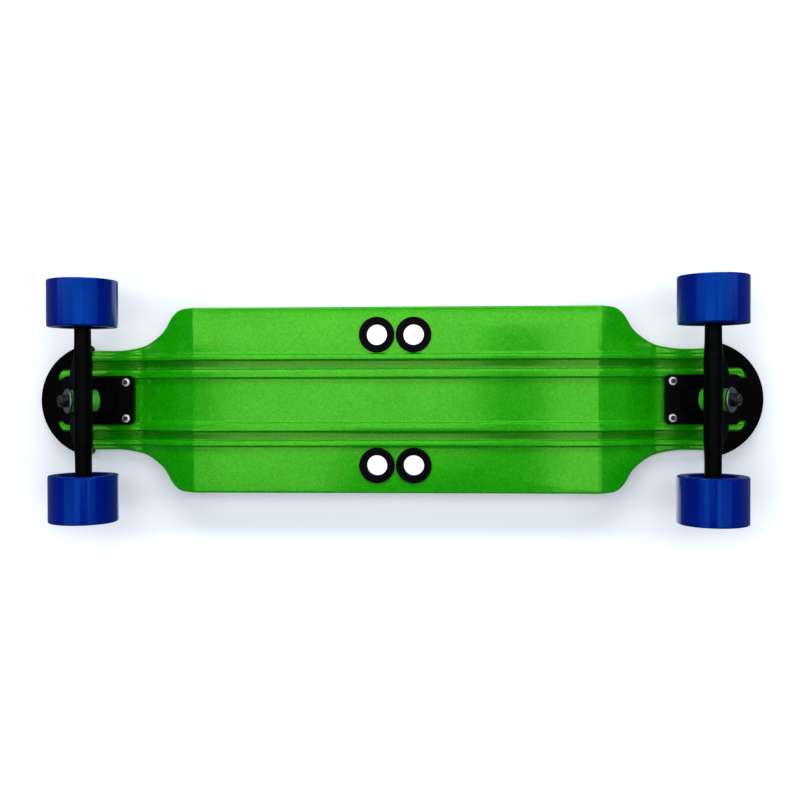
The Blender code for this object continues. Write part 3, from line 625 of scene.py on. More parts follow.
def thread_rod(r, depth, pitch, z0, z1, segs=32, step=0.16, chamfer=0.0):
    """Open tube skin with a helical thread; z0 and z1 run out to a plain end."""
    rows = []
    n = max(2, int((z1 - z0) / (pitch * step)))
    bm = bmesh.new()
    for k in range(n + 1):
        z = z0 + (z1 - z0) * k / n
        row = []
        for i in range(segs):
            a = i / segs
            ph = (z / pitch - a) % 1.0
            h = abs(ph * 2 - 1)                        # 0 at the crest's middle, 1 at the root
            cut_in = depth * min(1.0, max(0.0, (h - 0.12) / 0.76))
            fade = min(1.0, (z - z0) / pitch, (z1 - z) / (0.8 * pitch))
            rr = r - cut_in * max(0.0, fade)
            if chamfer:
                rr = min(rr, r - chamfer + max(0.0, min((z - z0), (z1 - z))) * 1.0)
            row.append(bm.verts.new((rr * cos(2 * pi * a), rr * sin(2 * pi * a), z)))
        rows.append(row)
    for a, b in zip(rows, rows[1:]):
        for i in range(segs):
            bm.faces.new((a[i], a[(i + 1) % segs], b[(i + 1) % segs], b[i]))
    return bm, rows


def bolt_body(r, depth, pitch, z0, z1, segs=32, chamfer=0.5 * MM, shank=None, head=None):
    """Threaded rod z0..z1 with chamfered tip at z0; above z1 the turned points in shank and head follow."""
    bm, rows = thread_rod(r, depth, pitch, z0 + chamfer, z1, segs)
    tip = [bm.verts.new(((r - depth - 0.15 * MM) * cos(2 * pi * i / segs), (r - depth - 0.15 * MM) * sin(2 * pi * i / segs), z0))
           for i in range(segs)]
    for i in range(segs):
        bm.faces.new((tip[i], tip[(i + 1) % segs], rows[0][(i + 1) % segs], rows[0][i]))
    bm.faces.new(list(reversed(tip)))
    last = rows[-1]
    for rr, z in (shank or []) + (head or []):
        if rr < 1e-7:
            pole = bm.verts.new((0, 0, z))
            for i in range(segs):
                bm.faces.new((last[i], last[(i + 1) % segs], pole))
            last = None
            break
        row = [bm.verts.new((rr * cos(2 * pi * i / segs), rr * sin(2 * pi * i / segs), z)) for i in range(segs)]
        for i in range(segs):
            bm.faces.new((last[i], last[(i + 1) % segs], row[(i + 1) % segs], row[i]))
        last = row
    if last is not None:
        bm.faces.new(last)
    return bm


def hex_nut(name, corner_r, hole_r, z0, z1, mat="steel", collar_r=0.0, collar_h=0.0, segs=72, washer=0.0):
    """Hexagon nut: both faces chamfered by a cone as a machined nut has them, optional round locking collar."""
    bm = bmesh.new()
    top = z1 - collar_h
    flat_r = corner_r * cos(pi / 6)
    levels = []
    n = 6
    for i in range(n + 1):
        levels.append((z0 + 0.9 * MM * i / n, flat_r * 0.97 + (corner_r - flat_r * 0.97) * i / n))
    for i in range(n + 1):
        levels.append((top - 0.9 * MM * (n - i) / n, corner_r - (corner_r - flat_r * 0.97) * i / n))
    rows = []
    for z, lim in levels:
        row = []
        for i in range(segs):
            a = 2 * pi * i / segs
            s = (a + pi / 6) % (pi / 3) - pi / 6
            rr = min(flat_r / cos((a % (pi / 3)) - pi / 6), lim, corner_r - 0.12 * MM)
            row.append(bm.verts.new((rr * cos(a), rr * sin(a), z)))
        rows.append(row)
    extra = []
    if collar_h:
        extra = [(collar_r, top + 0.05 * MM), (collar_r, z1 - 0.45 * MM), (collar_r - 0.18 * MM, z1 - 0.12 * MM),
                 (collar_r - 0.55 * MM, z1)]
    else:
        extra = []
    inner = [(hole_r + 0.45 * MM, z1), (hole_r, z1 - 0.45 * MM), (hole_r, z0 + 0.45 * MM), (hole_r + 0.45 * MM, z0)]
    for rr, z in extra + inner:
        rows.append([bm.verts.new((rr * cos(2 * pi * i / segs), rr * sin(2 * pi * i / segs), z)) for i in range(segs)])
    pairs = list(zip(rows, rows[1:])) + [(rows[-1], rows[0])]
    for a, b in pairs:
        for i in range(segs):
            j = (i + 1) % segs
            bm.faces.new((a[i], a[j], b[j], b[i]))
    return to_object(name, bm, mat, angle=28)


def ring(name, r_in, r_out, z0, z1, mat, soft=0.25 * MM, segs=72, matrix=None):
    prof = fillet([(r_in, z0), (r_out, z0), (r_out, z1), (r_in, z1)], soft, 3)
    return to_object(name, lathe(prof, segs), mat, matrix)


def place(ob, matrix):
    ob.data.transform(matrix)
    if matrix.to_3x3().determinant() < 0:
        ob.data.flip_normals()
    return ob


def copy_to(src, name, matrix):
    ob = bpy.data.objects.new(name, src.data.copy())
    ob.data.name = name
    SCENE.collection.objects.link(ob)
    return place(ob, matrix)


# ================================================================== deck
def smooth_points(pts, steps):
    out = []
    n = len(pts)
    for i in range(n - 1):
        p0, p1, p2, p3 = pts[max(i - 1, 0)], pts[i], pts[i + 1], pts[min(i + 2, n - 1)]
        for s in range(steps):
            t = s / steps
            out.append(tuple(0.5 * ((2 * p1[k]) + (p2[k] - p0[k]) * t
                                    + (2 * p0[k] - 5 * p1[k] + 4 * p2[k] - p3[k]) * t * t
                                    + (3 * p1[k] - p0[k] - 3 * p2[k] + p3[k]) * t ** 3) for k in (0, 1)))
    out.append(pts[-1])
    return out


def deck_outline(nose_r=NOSE_R, arc=28, steps=6):
    last = arc if nose_r == NOSE_R else arc + 1
    quarter = [(NOSE_CX + nose_r * cos(a), nose_r * sin(a)) for a in [pi / 2 * i / arc for i in range(last)]]
    quarter += smooth_points([(x * MM, y * MM) for x, y in SHOULDER], steps)
    pts = list(quarter)
    pts += [(-x, y) for x, y in reversed(quarter)]
    pts += [(-x, -y) for x, y in quarter[1:]]
    pts += [(x, -y) for x, y in reversed(quarter[1:])]
    return pts


def drop_at(x):
    """Height of the bent plate along its length: a soft bend at the neck, a crisper one at the platform."""
    ax = abs(x)
    m = DROP / (RAMP_NECK_X - RAMP_PLAT_X)
    h, hp = RAMP_BLEND / 2, PLAT_BLEND / 2
    if ax >= RAMP_NECK_X + h:
        return 0.0
    if ax > RAMP_NECK_X - h:
        return -m / (2 * RAMP_BLEND) * (RAMP_NECK_X + h - ax) ** 2
    if ax >= RAMP_PLAT_X + hp:
        return -m * (RAMP_NECK_X - ax)
    if ax > RAMP_PLAT_X - hp:
        return -DROP + m / (2 * PLAT_BLEND) * (ax - (RAMP_PLAT_X - hp)) ** 2
    return -DROP


def bend_to_drop(ob, steps=7):
    """Slices a flat plate along the bends and lowers its platform."""
    bm = bmesh.new()
    bm.from_mesh(ob.data)
    h = RAMP_BLEND / 2
    xs = [RAMP_PLAT_X - PLAT_BLEND / 2 + PLAT_BLEND * i / 5 for i in range(6)]
    xs += [RAMP_NECK_X - h + RAMP_BLEND * i / steps for i in range(steps + 1)]
    for x in xs:
        for s in (1, -1):
            bmesh.ops.bisect_plane(bm, geom=bm.verts[:] + bm.edges[:] + bm.faces[:], dist=1e-6,
                                   plane_co=(s * x, 0, 0), plane_no=(1, 0, 0))
    for v in bm.verts:
        v.co.z += drop_at(v.co.x)
    bm.to_mesh(ob.data)
    bm.free()
    ob.data.update()
    return ob


def ridge_bar(y0, y1, end, top=1.5 * MM):
    """A ridge along X: softened crown, small root fillets running out on the plate."""
    zb, zt = NECK_Z - 0.004 * MM, NECK_Z - RIDGE_H
    f = 3.2 * MM
    prof = [(y0 - f, zb), (y0 + 0.05 * MM, zb), (y0 + 0.5 * MM, zt), (y1 - 0.5 * MM, zt), (y1 - 0.05 * MM, zb),
            (y1 + f, zb), (y1 + f, NECK_Z + top), (y0 - f, NECK_Z + top)]
    prof = fillet(prof, [0, 1.9 * MM, 0.9 * MM, 0.9 * MM, 1.9 * MM, 0, 0, 0], 5)
    bm = bmesh.new()
    a = [bm.verts.new((-end, y, z)) for y, z in prof]
    b = [bm.verts.new((end, y, z)) for y, z in prof]
    n = len(prof)
    for i in range(n):
        bm.faces.new((a[i], a[(i + 1) % n], b[(i + 1) % n], b[i]))
    bm.faces.new(a)
    bm.faces.new(list(reversed(b)))
    return bm


BOLT_XY = [(e * (WHEELBASE_HALF + bx), by) for e in (1, -1) for bx in (BOLT_IN, BOLT_IN + BOLT_SPACING)
           for by in (BOLT_Y, -BOLT_Y)]
GROMMETS = [("front_left", 1, 1), ("front_right", 1, -1), ("rear_left", -1, 1), ("rear_right", -1, -1)]

shell = to_object("deck_shell", soft_prism(deck_outline(), NECK_Z, NECK_TOP, 2.3 * MM, 1.5 * MM, 4))
for side in (1, -1):
    y0, y1 = INNER_RIDGE if side > 0 else (-INNER_RIDGE[1], -INNER_RIDGE[0])
    bar = to_object("ridge", ridge_bar(y0, y1, 410 * MM))
    ym, yM = sorted((abs(y0), abs(y1)))
    ym, yM = ym - 0.05 * MM, yM + 0.05 * MM
    half = fillet([(0.300, ym), (NOSE_CX + sqrt(RIDGE_END_R ** 2 - ym ** 2), ym), (NOSE_CX + sqrt(RIDGE_END_R ** 2 - yM ** 2), yM),
                   (0.300, yM)], [0, 3.0 * MM, 3.4 * MM, 0], 6, closed=False)
    clip = [(0.300, ym - 4 * MM)] + half + [(0.300, yM + 4 * MM), (-0.300, yM + 4 * MM)]
    clip += [(-x, y) for x, y in reversed(half)] + [(-0.300, ym - 4 * MM)]
    if side < 0:
        clip = [(x, -y) for x, y in reversed(clip)]
    keep(bar, prism(clip, 0.05, 0.13))
    bmr = bmesh.new()
    bmr.from_mesh(bar.data)
    sharp = [e for e in bmr.edges if len(e.link_faces) == 2 and e.calc_face_angle(0) > 0.7
             and min(abs(v.co.x) for v in e.verts) > 0.37 and max(v.co.z for v in e.verts) < NECK_Z - 0.2 * MM]
    bmesh.ops.bevel(bmr, geom=sharp, offset=0.8 * MM, segments=3, affect="EDGES", profile=0.5, clamp_overlap=True)
    bmr.to_mesh(bar.data)
    bmr.free()
    boolean(shell, bar, "UNION")
    y0, y1 = OUTER_RIDGE if side > 0 else (-OUTER_RIDGE[1], -OUTER_RIDGE[0])
    join(shell, ridge_bar(y0, y1, GUARD_X - 1 * MM))
holes = []
for x, y in BOLT_XY:
    holes.append((lathe([(0, 0.09), (2.8 * MM, 0.09), (2.8 * MM, NECK_TOP - 2.3 * MM), (5.2 * MM, NECK_TOP + 0.2 * MM),
                         (5.2 * MM, 0.12), (0, 0.12)], 32), Matrix.Translation((x, y, 0))))
for _, sx, sy in GROMMETS:
    holes.append((cylinder(GROMMET_BARREL + GAP, 0.08, 0.13, 64),
                  Matrix.Translation((sx * GROMMET_X, sy * GROMMET_Y, 0))))
cut_many(shell, holes)
bend_to_drop(shell)
with_mat(shell, "paint", 30)

grip = to_object("grip_sheet", soft_prism(inset_line(deck_outline(GUARD_LIP_R + 0.6 * MM), 1.5 * MM),
                                          NECK_TOP + 0.05 * MM, GRIP_TOP, 0.01 * MM, 0.35 * MM, 3))
holes = []
for x, y in BOLT_XY:
    holes.append((cylinder(5.0 * MM, 0.09, 0.13, 32), Matrix.Translation((x, y, 0))))
for _, sx, sy in GROMMETS:
    holes.append((cylinder(GROMMET_R + 0.5 * MM, 0.09, 0.13, 72), Matrix.Translation((sx * GROMMET_X, sy * GROMMET_Y, 0))))
cut_many(grip, holes)
bend_to_drop(grip)
with_mat(grip, "grip", 30)
grip.data.materials[0] = MAT["grip"]

for ob, node, slot in ((shell, "deck", "deck_paint"), (grip, "grip_tape", "grip")):
    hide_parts(node)
    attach(ob, "deck")

# ---- flanged rings
FL = 2.2 * MM
prof = [(GROMMET_HOLE, -FL - GAP), (GROMMET_R, -FL - GAP), (GROMMET_R, -GAP), (GROMMET_BARREL, -GAP),
        (GROMMET_BARREL, PLATE_T + GAP), (GROMMET_R, PLATE_T + GAP), (GROMMET_R, PLATE_T + GAP + FL),
        (GROMMET_HOLE, PLATE_T + GAP + FL)]
prof = fillet(prof, [0.9 * MM, 1.3 * MM, 0.2 * MM, 0.05 * MM, 0.05 * MM, 0.2 * MM, 1.3 * MM, 0.9 * MM], 5)
g0 = to_object("grommet_ring", lathe(prof, 96), "grommet")
for name, sx, sy in GROMMETS:
    g = copy_to(g0, "grommet_ring_" + name, Matrix.Translation((sx * GROMMET_X, sy * GROMMET_Y, PLAT_LO)))
    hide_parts("grommet_" + name)
    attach(g, "deck")
bpy.data.objects.remove(g0)

# ---- end guards
GUARD_LO = NECK_Z - RIDGE_H + 0.5 * MM
GUARD_HI = NECK_TOP + 3.2 * MM
corner = 6.0 * MM
gc_x = GUARD_X + corner
gc_y = sqrt((GUARD_R - corner) ** 2 - (gc_x - NOSE_CX) ** 2)
a0 = acos((gc_x - NOSE_CX) / (GUARD_R - corner))
outline = [(NOSE_CX + GUARD_R * cos(-a0 + 2 * a0 * i / 72), GUARD_R * sin(-a0 + 2 * a0 * i / 72)) for i in range(73)]
outline += [(gc_x + corner * cos(a0 + (pi - a0) * i / 8), gc_y + corner * sin(a0 + (pi - a0) * i / 8)) for i in range(1, 9)]
outline += [(gc_x + corner * cos(pi + (pi - a0) * i / 8), -gc_y + corner * sin(pi + (pi - a0) * i / 8)) for i in range(8)]
guard = to_object("guard", prism(outline, GUARD_LO, GUARD_HI))
cut(guard, prism([(0.33, -NOSE_R - GAP), (NOSE_CX, -NOSE_R - GAP)]
                 + [(NOSE_CX + (NOSE_R + GAP) * sin(pi * i / 60), -(NOSE_R + GAP) * cos(pi * i / 60)) for i in range(1, 60)]
                 + [(NOSE_CX, NOSE_R + GAP), (0.33, NOSE_R + GAP)], NECK_Z - GAP, NECK_TOP + GAP))
cut(guard, prism([(0.33, -GUARD_LIP_R), (NOSE_CX, -GUARD_LIP_R)]
                 + [(NOSE_CX + GUARD_LIP_R * sin(pi * i / 60), -GUARD_LIP_R * cos(pi * i / 60)) for i in range(1, 60)]
                 + [(NOSE_CX, GUARD_LIP_R), (0.33, GUARD_LIP_R)], NECK_TOP - 1 * MM, 0.13))
slots = []
for side in (1, -1):
    ya, yb = INNER_RIDGE[0] - 0.9 * MM, INNER_RIDGE[1] + 0.9 * MM
    rr = RIDGE_END_R + 0.9 * MM
    tip = [(NOSE_CX + sqrt(rr * rr - y * y), y) for y in [yb + (ya - yb) * i / 12 for i in range(13)]]
    pts = [(0.33, ya), (0.33, yb)] + tip
    slots.append((prism([(x, side * y) for x, y in (pts if side < 0 else list(reversed(pts)))], 0.09, NECK_Z + 1 * MM), None))
    slots.append((cylinder(2.8 * MM, 0.09, NECK_Z + 1 * MM, 32),
                  Matrix.Translation((WHEELBASE_HALF + BOLT_IN + BOLT_SPACING, side * BOLT_Y, 0))))
cut_many(guard, slots)
bevel(guard, 0.9 * MM, 3, 50)
with_mat(guard, "guard", 32)
for name, m in (("nose_guard", Matrix.Identity(4)), ("tail_guard", Matrix.Rotation(pi, 4, "Z"))):
    g = copy_to(guard, name + "_cup", m)
    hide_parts(name)
    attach(g, "deck")
bpy.data.objects.remove(guard)


# ================================================================== truck, in its own frame
def rounded_rect(x0, x1, hw, r, steps=8):
    pts = []
    for cx, cy, a in ((x1 - r, hw - r, 0), (x0 + r, hw - r, 90), (x0 + r, -hw + r, 180), (x1 - r, -hw + r, 270)):
        for i in range(steps + 1):
            q = radians(a + 90 * i / steps)
            pts.append((cx + r * cos(q), cy + r * sin(q)))
    return pts


def ring_points(centre, axis, r, n=32):
    m = frame_to(axis, centre)
    return [m @ Vector((r * cos(2 * pi * i / n), r * sin(2 * pi * i / n), 0)) for i in range(n)]


def make_baseplate():
    base = to_object("baseplate_casting", prism(rounded_rect(BASE_IN, BASE_OUT, BASE_HALF_W, BASE_CORNER), BASE_LO, BASE_FACE))
    block = ring_points(RING_C - KING * SEAT_T, KING, 13.2 * MM)
    block += [Vector((x, y, BASE_LO + 3 * MM)) for x in (-24 * MM, 17 * MM) for y in (-13 * MM, 13 * MM)]
    join(base, hull(block))
    boss = ring_points(PIVOT - PIVOT_DIR * 4.5 * MM, PIVOT_DIR, 9.3 * MM)
    boss += [Vector((PIVOT.x + 9.5 * MM * cos(2 * pi * i / 32) + 2 * MM, 9.5 * MM * sin(2 * pi * i / 32), BASE_LO + 3 * MM))
             for i in range(32)]
    join(base, hull(boss))
    for side in (1, -1):
        join(base, hull([Vector((x, side * y, z)) for x, y, z in (
            (-20 * MM, 13 * MM, BASE_LO + 2 * MM), (-20 * MM, 16 * MM, BASE_LO + 2 * MM), (14 * MM, 12 * MM, BASE_LO + 2 * MM),
            (14 * MM, 16 * MM, BASE_LO + 2 * MM), (-4 * MM, 9 * MM, BASE_LO - 9 * MM), (-4 * MM, 12 * MM, BASE_LO - 9 * MM),
            (4 * MM, 9 * MM, BASE_LO - 7 * MM), (4 * MM, 13 * MM, BASE_LO - 7 * MM))]))
    cast(base, 0.55 * MM, 5)
    head = ring_points(RING_C - KING * 21.8 * MM, KING, 8.6 * MM) + ring_points(RING_C - KING * 27.4 * MM, KING, 8.6 * MM)
    pieces = [(cylinder(KINGPIN_R + 0.35 * MM, -10 * MM, 5 * MM, 48), along_king(-SEAT_T)),
              (hull(head + [Vector((p.x, p.y, BASE_FACE + 1 * MM)) for p in head]), None),
              (lathe([(0, -12 * MM), (7.2 * MM, -12 * MM)]
                     + [(7.2 * MM * cos(a), 7.2 * MM * sin(a)) for a in [pi / 2 * i / 12 for i in range(12)]]
                     + [(0, 7.2 * MM)], 48), frame_to(PIVOT_DIR, PIVOT))]
    cut_many(base, pieces[:1])
    cut_many(base, pieces[1:])
    cut(base, cylinder(13.6 * MM, -SEAT_T, 0, 64), along_king(0))
    pieces = []
    for bx in (BOLT_IN, BOLT_IN + BOLT_SPACING):
        for side in (1, -1):
            # spot face for the nut and the bolt hole, one solid of both
            pieces.append((lathe([(0, 30 * MM), (6.3 * MM, 30 * MM), (6.3 * MM, BASE_LO + 0.12 * MM),
                                  (2.8 * MM, BASE_LO + 0.12 * MM), (2.8 * MM, 70 * MM), (0, 70 * MM)], 48),
                           Matrix.Translation((bx, side * BOLT_Y, 0))))
    cut_many(base, pieces)
    return with_mat(base, "truck", 38)


def make_hanger():
    bar = fillet([(0, -HANGER_HALF), (8.8 * MM, -HANGER_HALF), (9.1 * MM, -62 * MM), (10.0 * MM, -46 * MM),
                  (10.0 * MM, 46 * MM), (9.1 * MM, 62 * MM), (8.8 * MM, HANGER_HALF), (0, HANGER_HALF)],
                 [0, 0.8 * MM, 8 * MM, 8 * MM, 8 * MM, 8 * MM, 0.8 * MM, 0], 5, closed=False)
    h = to_object("hanger_casting", lathe(bar, 72), matrix=frame_to((0, 1, 0)))
    ring_pts = []
    for u, w, ys in ((-12, 4.6, 14.0), (12.5, 4.6, 11.0)):
        for y in (-ys, ys):
            for k in (-w, w):
                p = RING_C + SEAT * u * MM + KING * k * MM
                ring_pts.append(Vector((p.x, y * MM, p.z)))
    bar_pts = [Vector((x * MM, y * MM, z * MM)) for x, z in ((-5.5, 3.0), (8.2, 2.0), (1.0, 8.6)) for y in (-50, 50)]
    face_pts = [Vector((x * MM, k * y * MM, z * MM)) for x, y, z in ((22.5, 13, 17.5), (20.8, 31, 15), (14.0, 50, 8.5))
                for k in (1, -1)]
    join(h, hull(ring_pts + bar_pts + face_pts))
    join(h, lathe([(0, -5.4 * MM), (RING_R, -5.4 * MM), (RING_R, 5.4 * MM), (0, 5.4 * MM)], 96), along_king(0))
    join(h, lathe([(0, 8 * MM), (7.0 * MM, 8 * MM), (6.4 * MM, 16 * MM), (4.6 * MM, 20 * MM), (4.6 * MM, PIVOT_DIST - 2.4 * MM)]
                  + [(5.2 * MM * cos(a), PIVOT_DIST + 5.2 * MM * sin(a)) for a in [-0.48 + 1.9 * i / 12 for i in range(13)]]
                  + [(0, PIVOT_DIST + 5.2 * MM)], 48), frame_to(PIVOT_DIR, RING_C))
    cut(h, lathe(fillet([(0, 3.3 * MM), (12.9 * MM, 3.3 * MM), (13.7 * MM, 5.5 * MM), (21.4 * MM, 14.6 * MM),
                         (24.0 * MM, 34 * MM), (0, 34 * MM)], [0, 0.6 * MM, 2 * MM, 3 * MM, 0, 0], 4, closed=False), 96),
        along_king(0))
    cut(h, cylinder(12.9 * MM, -22 * MM, -3.3 * MM, 96), along_king(0))
    cast(h, 0.55 * MM, 4)
    cut_many(h, [(cylinder(7.2 * MM, -6 * MM, 6 * MM, 48), along_king(0)),
                 (cylinder(AXLE_R + 0.05 * MM, -0.1, 0.1, 48), frame_to((0, 1, 0)))])
    return with_mat(h, "truck", 38)


base0 = make_baseplate()
hanger0 = make_hanger()

# kingpin with a rolled thread at its nut end, flange head inside the baseplate
king0 = to_object("kingpin", bolt_body(KINGPIN_R, 0.45 * MM, 1.25 * MM, -27.2 * MM, -14.5 * MM, 40, 0.6 * MM,
                                       [(KINGPIN_R, -14.2 * MM), (KINGPIN_R, 22.2 * MM)],
                                       [(8.0 * MM, 22.25 * MM), (8.0 * MM, 26.5 * MM), (7.6 * MM, 27 * MM), (0, 27 * MM)]),
                  "black_steel", Matrix.Rotation(pi, 4, "X"))

BUSH_HOLE = KINGPIN_R + 0.45 * MM
bb = fillet([(BUSH_HOLE, -16.2 * MM), (BUSH_R, -16.2 * MM), (BUSH_R + 0.1 * MM, -12.6 * MM), (BUSH_R + 0.35 * MM, -9.9 * MM),
             (BUSH_R + 0.1 * MM, -7.2 * MM), (BUSH_R, -3.6 * MM), (BUSH_HOLE, -3.6 * MM)],
            [0.3 * MM, 1.2 * MM, 6 * MM, 6 * MM, 6 * MM, 1.0 * MM, 0.3 * MM], 5)
bush_board0 = to_object("bushing_board", lathe(bb, 72), "bush_board")
br = fillet([(BUSH_HOLE, 3.6 * MM), (BUSH_R, 3.6 * MM), (BUSH_R + 0.3 * MM, 7.0 * MM), (BUSH_R + 0.1 * MM, 11.5 * MM),
             (11.7 * MM, 16.3 * MM), (BUSH_HOLE, 16.3 * MM)], [0.3 * MM, 0.9 * MM, 4 * MM, 4 * MM, 0.8 * MM, 0.3 * MM], 5)
bush_road0 = to_object("bushing_road", lathe(br, 72), "bush_board")

# cup washer: pressed dish with a rolled lip
wp = fillet([(BUSH_HOLE, 16.4 * MM), (12.7 * MM, 16.4 * MM), (12.95 * MM, 15.6 * MM), (13.8 * MM, 15.6 * MM),
             (13.8 * MM, 17.2 * MM), (12.9 * MM, 18.1 * MM), (BUSH_HOLE, 18.1 * MM)],
            [0.2 * MM, 0.4 * MM, 0.3 * MM, 0.35 * MM, 0.9 * MM, 0.6 * MM, 0.2 * MM], 4)
washer0 = to_object("cup_washer", lathe(wp, 72), "washer")
knut0 = hex_nut("kingpin_nut", 8.25 * MM, KINGPIN_R + 0.12 * MM, 18.3 * MM, 25.6 * MM, "dark_steel", 6.5 * MM, 1.9 * MM)
knylon0 = ring("kingpin_nut_collar", KINGPIN_R + 0.05 * MM, 5.9 * MM, 24.0 * MM, 25.48 * MM, "nylon", 0.15 * MM)

# deck bolts: countersunk heads with a cross recess, threaded shanks, locking nuts
BOLT_LEN = GRIP_TOP - 0.2 * MM - (WHEEL_R + BASE_LO - GAP - 4.6 * MM - 1.4 * MM)
bolt0 = to_object("bolt", bolt_body(2.4 * MM, 0.30 * MM, 0.8 * MM, -BOLT_LEN, -5.0 * MM, 32, 0.4 * MM,
                                    [(2.4 * MM, -4.9 * MM), (2.4 * MM, -3.3 * MM)],
                                    [(4.45 * MM, -1.0 * MM), (4.5 * MM, -0.35 * MM), (4.3 * MM, -0.08 * MM), (3.9 * MM, 0), (0, 0)]),
                  "black_steel")
cross = []
for k in range(2):
    cross.append((hull([Matrix.Rotation(pi / 2 * k, 3, "Z") @ Vector(p) for p in (
        (2.6 * MM, 0.45 * MM, 0.3 * MM), (2.6 * MM, -0.45 * MM, 0.3 * MM), (-2.6 * MM, 0.45 * MM, 0.3 * MM),
        (-2.6 * MM, -0.45 * MM, 0.3 * MM), (1.0 * MM, 0.35 * MM, -2.2 * MM), (1.0 * MM, -0.35 * MM, -2.2 * MM),
        (-1.0 * MM, 0.35 * MM, -2.2 * MM), (-1.0 * MM, -0.35 * MM, -2.2 * MM))]), None))
for bm_c, _ in cross:
    cut(bolt0, bm_c)
with_mat(bolt0, "black_steel", 30)
bnut0 = hex_nut("bolt_nut", 5.2 * MM, 2.42 * MM, 0, 4.6 * MM, "steel", 4.0 * MM, 1.3 * MM, 60)

# axle: straight rod, threaded at both ends
bm_ax, rows_ax = thread_rod(AXLE_R, 0.42 * MM, 1.05 * MM, 114.5 * MM, AXLE_HALF - 0.6 * MM, 40)
bm_ax2 = bmesh.new()


def threaded_end(bm, rows, r, depth, z_end, segs):
    tip = [bm.verts.new(((r - depth - 0.2 * MM) * cos(2 * pi * i / segs), (r - depth - 0.2 * MM) * sin(2 * pi * i / segs), z_end))
           for i in range(segs)]
    for i in range(segs):
        bm.faces.new((rows[-1][i], rows[-1][(i + 1) % segs], tip[(i + 1) % segs], tip[i]))
    bm.faces.new(tip)


threaded_end(bm_ax, rows_ax, AXLE_R, 0.42 * MM, AXLE_HALF, 40)
mid = [bm_ax.verts.new((AXLE_R * cos(2 * pi * i / 40), AXLE_R * sin(2 * pi * i / 40), 0)) for i in range(40)]
for i in range(40):
    bm_ax.faces.new((mid[i], mid[(i + 1) % 40], rows_ax[0][(i + 1) % 40], rows_ax[0][i]))
half_me = bpy.data.meshes.new("half")
bm_ax.to_mesh(half_me)
bm_ax2.free()
bm_ax.free()
bm_ax = bmesh.new()
bm_ax.from_mesh(half_me)
half_me.transform(Matrix.Rotation(pi, 4, "X"))
bm_ax.from_mesh(half_me)
bmesh.ops.remove_doubles(bm_ax, verts=bm_ax.verts, dist=0.002 * MM)
bpy.data.meshes.remove(half_me)
axle0 = to_object("axle", bm_ax, "axle", frame_to((0, 1, 0)))

anut0 = hex_nut("axle_nut", 7.4 * MM, AXLE_R + 0.05 * MM, 0, 6.6 * MM, "steel", 5.6 * MM, 1.7 * MM)
speed0 = ring("speed_washer", AXLE_R + 0.1 * MM, 6.3 * MM, 0, 0.95 * MM, "steel", 0.2 * MM)

# riser pad in the channel between the inner ridges
pad0 = to_object("riser_pad", soft_prism(rounded_rect(BASE_IN + 0.7 * MM, GUARD_X - 0.4 * MM - WHEELBASE_HALF,
                                                      INNER_RIDGE[0] - 1.4 * MM, 2 * MM, 5),
                                         BASE_FACE + 0.1 * MM, BASE_FACE + RIDGE_H, 0.5 * MM, 0.3 * MM, 3))
cut_many(pad0, [(cylinder(2.8 * MM, 40 * MM, 80 * MM, 32), Matrix.Translation((BOLT_IN, s * BOLT_Y, 0))) for s in (1, -1)])
with_mat(pad0, "pad")

# ================================================================== wheels
W = WHEEL_HALF
b_in = BEARING_IN_Y - WHEEL_Y
b_out = BEARING_OUT_Y - WHEEL_Y
hw = BEARING_W / 2
seat_r = BEARING_R + 0.1 * MM
# the urethane tyre, inboard side first; its lips are rounded and its faces dish towards the core
tyre = [(16.5 * MM, b_in - hw - 0.8 * MM), (21.5 * MM, -W + 6.0 * MM), (26.2 * MM, -W + 0.6 * MM), (28.0 * MM, -W),
        (36.0 * MM, -W), (37.0 * MM, -W + 0.35 * MM), (WHEEL_R, -W + 1.5 * MM), (WHEEL_R, W - 1.5 * MM),
        (37.0 * MM, W - 0.35 * MM), (36.0 * MM, W), (28.6 * MM, W), (27.0 * MM, W - 0.6 * MM), (22.5 * MM, W - 7.0 * MM),
        (16.5 * MM, b_out + hw + 1.6 * MM), (15.6 * MM, b_out + hw - 0.5 * MM), (15.6 * MM, b_in - hw + 1.0 * MM)]
tyre = fillet(tyre, [0.3 * MM, 2.5 * MM, 1.2 * MM, 0.8 * MM, 0.9 * MM, 0.9 * MM, 1.0 * MM, 1.0 * MM, 0.9 * MM, 0.9 * MM,
                     0.8 * MM, 1.2 * MM, 2.5 * MM, 0.3 * MM, 0.2 * MM, 0.2 * MM], 5)
tyre0 = to_object("wheel_tyre", lathe(tyre, 128), "wheel", frame_to((0, 1, 0)))
# the side faces take the darker side material: painted shade on the same urethane
tyre0.data.materials.append(MAT["wheel_side_shaded"])
for p in tyre0.data.polygons:
    if sqrt(p.center.x ** 2 + p.center.z ** 2) < 36.9 * MM:
        p.material_index = 1
